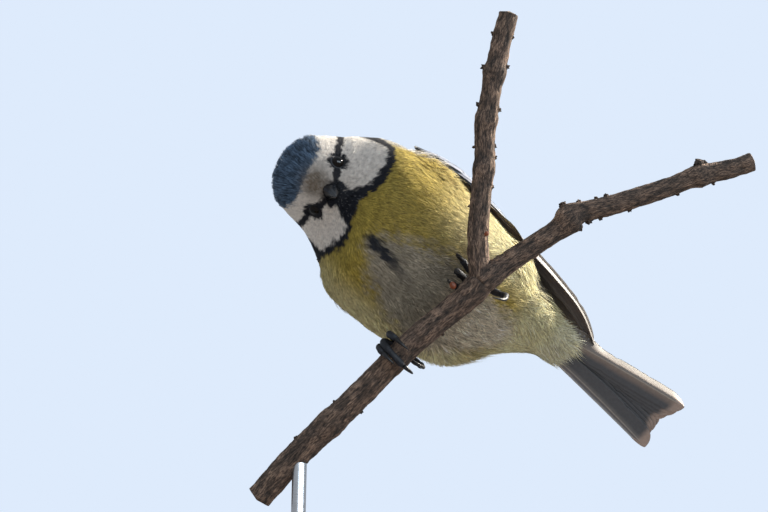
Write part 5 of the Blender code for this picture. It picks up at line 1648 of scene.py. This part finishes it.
def stage_pieces(settings):
    """The floor and surround, a key light like low sun, a soft box for the eyes, and the camera."""
    floor_piece(settings)
    surround(settings)
    sun = bpy.data.lights.new("key", "SUN")
    sun.energy = settings.sun
    sun.angle = math.radians(4.0)
    sun.color = (1.0, 0.93, 0.82)
    placed("key", sun, toward=settings.sun_from)

    soft = bpy.data.lights.new("soft_box", "AREA")
    soft.shape = "RECTANGLE"
    soft.size, soft.size_y = SOFT_BOX_WIDE, SOFT_BOX_HIGH
    soft.energy = settings.soft_box
    soft.color = (0.74, 0.88, 1.0)
    box = placed("soft_box", soft, SOFT_BOX_PLACE, SOFT_BOX_FROM)
    box.visible_camera = False
    box.visible_diffuse = False

    lens = bpy.data.cameras.new("camera")
    lens.sensor_width = 36.0
    lens.lens = CAMERA_LENS
    lens.clip_start = 0.01
    view = placed("camera", lens, CAMERA_PLACE)
    view.rotation_euler = (math.radians(CAMERA_TILT), 0.0, 0.0)
    bpy.context.scene.camera = view
    bpy.context.scene.view_settings.view_transform = "Standard"


# ---------------------------------------------------------------- settings

def colour(name, description, default):
    return FloatVectorProperty(name=name, description=description, default=default, size=3, min=0.0,
                               max=1.0, subtype="COLOR")


def length(name, description, default, high):
    return FloatProperty(name=name, description=description, default=default, min=0.0, max=high,
                         precision=5, unit="LENGTH", subtype="DISTANCE")


def strength(name, description, default):
    return FloatProperty(name=name, description=description, default=default, min=0.0, max=20.0)


class PlumageSettings(bpy.types.PropertyGroup):
    coat_depth: length("Coat Depth", "How far the skin lies under the feather tips", 0.0015, 0.003)
    tufts_per_piece: IntProperty(name="Tufts", description="Tufts in each piece of the coat",
                                 default=3350, min=100, max=6000)
    strips_per_tuft: IntProperty(name="Strips", description="Fine strips in each tuft", default=11,
                                 min=3, max=20)
    cap: colour("Cap", "Blue of the crown", (0.104, 0.164, 0.250))
    white: colour("White", "Brow, cheek and bar", (0.88, 0.82, 0.75))
    black: colour("Black", "Eye stripe, bib and collar", (0.012, 0.013, 0.02))
    smudge: colour("Smudge", "Soiled feathers round the bill", (0.24, 0.19, 0.14))
    breast: colour("Breast", "Yellow of the breast", (0.47, 0.355, 0.070))
    flank: colour("Flank", "Paler yellow of the sides", (0.84, 0.77, 0.47))
    belly: colour("Belly", "Grey white of the belly", (0.43, 0.38, 0.29))
    stripe: colour("Belly Stripe", "Dark line down the breast", (0.03, 0.032, 0.04))
    vent: colour("Vent", "Pale yellow before the tail", (0.84, 0.77, 0.46))
    under_tail: colour("Under Tail", "Coverts below the tail", (0.84, 0.80, 0.56))
    mantle: colour("Mantle", "Greenish back", (0.20, 0.22, 0.11))
    # Shade: dusky flank under the wing, darkened further as painted shadow of the wing.
    shade: colour("Shade", "Dusky flank under the wing", (0.085, 0.070, 0.055))
    rump: colour("Rump", "Yellowish rump", (0.30, 0.31, 0.13))
    wing_blue: colour("Wing Blue", "Coverts and outer webs", (0.075, 0.15, 0.29))
    tail_blue: colour("Tail Blue", "Tail from above", (0.085, 0.16, 0.28))
    flight: colour("Flight", "Dark inner webs", (0.055, 0.058, 0.066))
    pale_edge: colour("Pale Edge", "Fringes of the flight feathers", (0.80, 0.73, 0.64))
    worn_edge: colour("Worn Edge", "Faded webs and tips of wing and tail", (0.40, 0.31, 0.26))


class HornSettings(bpy.types.PropertyGroup):
    bill: colour("Bill", "Horn of the bill", (0.026, 0.029, 0.036))
    bill_edge: colour("Bill Edge", "Paler cutting edges", (0.045, 0.048, 0.056))
    black: colour("Bristle", "Bristles at the gape", (0.012, 0.012, 0.015))
    pupil: colour("Pupil", "Middle of the eye", (0.002, 0.002, 0.002))
    iris: colour("Iris", "Dark brown iris", (0.009, 0.005, 0.003))
    lid: colour("Lid", "Rim of the eye", (0.03, 0.032, 0.04))
    leg: colour("Leg", "Scaly skin of the feet", (0.026, 0.028, 0.034))
    claw: colour("Claw", "Horn of the claws", (0.030, 0.029, 0.030))
    claw_tip: colour("Claw Tip", "Paler points", (0.05, 0.047, 0.044))


class TwigSettings(bpy.types.PropertyGroup):
    bark_ridge: length("Bark Ridge", "Height of the bark's ridges", 0.00022, 0.001)
    bark_dark: colour("Bark Dark", "Cracks of the bark", (0.070, 0.042, 0.029))
    bark_pale: colour("Bark Pale", "Ridges of the bark", (0.64, 0.43, 0.30))
    bud: colour("Bud", "Scales of the buds", (0.36, 0.10, 0.04))
    cut_wood: colour("Cut Wood", "Sawn ends", (0.50, 0.36, 0.22))


class StageSettings(bpy.types.PropertyGroup):
    wood: colour("Wood", "Turned foot", [value * 0.5 for value in FINISHES["stand_wood"]])
    steel: colour("Steel", "Rod and collar", FINISHES["stand_steel"])
    floor: colour("Floor", "Pale floor", (0.50, 0.52, 0.55))
    surround: colour("Surround", "Pale blue surround", (0.73, 0.83, 0.975))
    fill_low: colour("Fill Below", "Soft light from below", (0.62, 0.62, 0.63))
    fill_high: colour("Fill Above", "Soft light from above", (0.78, 0.88, 1.0))
    fill: strength("Fill", "Strength of the light from all round", 0.62)
    sun: strength("Key", "Strength of the key light", 10.0)
    soft_box: strength("Soft Box", "Strength of the light the eyes mirror", 5.0)
    sun_from: FloatVectorProperty(name="Key From", description="The way to the key light",
                                  default=(0.74, 0.24, 0.63), size=3, subtype="XYZ")


# ---------------------------------------------------------------- operators

class PieceOperator:
    bl_options = {"REGISTER", "UNDO"}

    def execute(self, context):
        self.make(context.scene)
        return {"FINISHED"}


class BLUETIT_OT_skin(PieceOperator, bpy.types.Operator):
    """Make the skin under the feathers"""
    bl_idname = "bluetit.skin"
    bl_label = "Skin"

    def make(self, scene):
        skin_piece(Flesh(), scene.bluetit_plumage)


class BLUETIT_OT_coat(PieceOperator, bpy.types.Operator):
    """Make the small feathers of the head and body"""
    bl_idname = "bluetit.coat"
    bl_label = "Small Feathers"

    def make(self, scene):
        flesh = Flesh()
        material = plumage_material("small_feathers")
        seed = 100
        for stretch, slot, low, high in COAT_STRETCHES:
            for half, label in ((1, "left"), (-1, "right")):
                seed += 1
                coat_piece(flesh, scene.bluetit_plumage, "coat_" + stretch + "_" + label, slot, low,
                           high, half, seed, material)


class BLUETIT_OT_wings(PieceOperator, bpy.types.Operator):
    """Make the vanes of both folded wings"""
    bl_idname = "bluetit.wings"
    bl_label = "Wings"

    def make(self, scene):
        material = vane_material("wing_vane")
        wing_piece("wing_left", LEFT_WING, scene.bluetit_plumage, material, 3)
        wing_piece("wing_right", RIGHT_WING, scene.bluetit_plumage, material, 4)


class BLUETIT_OT_tail(PieceOperator, bpy.types.Operator):
    """Make the tail feathers"""
    bl_idname = "bluetit.tail"
    bl_label = "Tail"

    def make(self, scene):
        tail_piece(scene.bluetit_plumage, vane_material("tail_vane"))


class BLUETIT_OT_eyes(PieceOperator, bpy.types.Operator):
    """Make the eyes and their lids"""
    bl_idname = "bluetit.eyes"
    bl_label = "Eyes"

    def make(self, scene):
        eye_pieces(scene.bluetit_horn)


class BLUETIT_OT_bill(PieceOperator, bpy.types.Operator):
    """Make the bill and its bristles"""
    bl_idname = "bluetit.bill"
    bl_label = "Bill"

    def make(self, scene):
        bill_pieces(scene.bluetit_horn)


class BLUETIT_OT_feet(PieceOperator, bpy.types.Operator):
    """Make the gripping feet and their claws"""
    bl_idname = "bluetit.feet"
    bl_label = "Feet"

    def make(self, scene):
        skin, claw = scaly_material("leg_scales"), horn_material("claw_horn", 0.36)
        for side in GRIPS:
            foot_pieces(side, scene.bluetit_horn, skin, claw)


class BLUETIT_OT_twig(PieceOperator, bpy.types.Operator):
    """Make the forked twig"""
    bl_idname = "bluetit.twig"
    bl_label = "Twig"

    def make(self, scene):
        twig_pieces(scene.bluetit_twig)


class BLUETIT_OT_stand(PieceOperator, bpy.types.Operator):
    """Make the display stand"""
    bl_idname = "bluetit.stand"
    bl_label = "Stand"

    def make(self, scene):
        stand_pieces(scene.bluetit_stage)


class BLUETIT_OT_stage(PieceOperator, bpy.types.Operator):
    """Set the floor, the lights and the camera"""
    bl_idname = "bluetit.stage"
    bl_label = "Stage"

    def make(self, scene):
        stage_pieces(scene.bluetit_stage)


OPERATORS = (BLUETIT_OT_stage, BLUETIT_OT_skin, BLUETIT_OT_coat, BLUETIT_OT_wings, BLUETIT_OT_tail,
             BLUETIT_OT_eyes, BLUETIT_OT_bill, BLUETIT_OT_feet, BLUETIT_OT_twig, BLUETIT_OT_stand)
GROUPS = (("bluetit_plumage", PlumageSettings), ("bluetit_horn", HornSettings),
          ("bluetit_twig", TwigSettings), ("bluetit_stage", StageSettings))


class BLUETIT_PT_pieces(bpy.types.Panel):
    bl_idname = "BLUETIT_PT_pieces"
    bl_label = "Blue Tit"
    bl_space_type = "VIEW_3D"
    bl_region_type = "UI"
    bl_category = "Blue Tit"

    def draw(self, context):
        layout = self.layout
        for operator in OPERATORS:
            layout.operator(operator.bl_idname)
        for key, group in GROUPS:
            box = layout.box()
            for field in group.__annotations__:
                box.prop(getattr(context.scene, key), field)


CLASSES = tuple(group for _, group in GROUPS) + OPERATORS + (BLUETIT_PT_pieces,)


def register():
    for kind in CLASSES:
        bpy.utils.register_class(kind)
    for key, group in GROUPS:
        setattr(bpy.types.Scene, key, PointerProperty(type=group))


def unregister():
    for key, _ in GROUPS:
        delattr(bpy.types.Scene, key)
    for kind in reversed(CLASSES):
        bpy.utils.unregister_class(kind)


def plain(box):
    return [[float(v) for v in corner] for corner in box]


def main():
    register()
    bpy.ops.bluetit.stage()
    bpy.ops.bluetit.skin()
    bpy.ops.bluetit.coat()
    bpy.ops.bluetit.wings()
    bpy.ops.bluetit.tail()
    bpy.ops.bluetit.eyes()
    bpy.ops.bluetit.bill()
    bpy.ops.bluetit.feet()
    bpy.ops.bluetit.twig()
    bpy.ops.bluetit.stand()
    {"cad": plain(CAD_BOX), "visual": plain(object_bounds())}


if __name__ == "__main__":
    main()
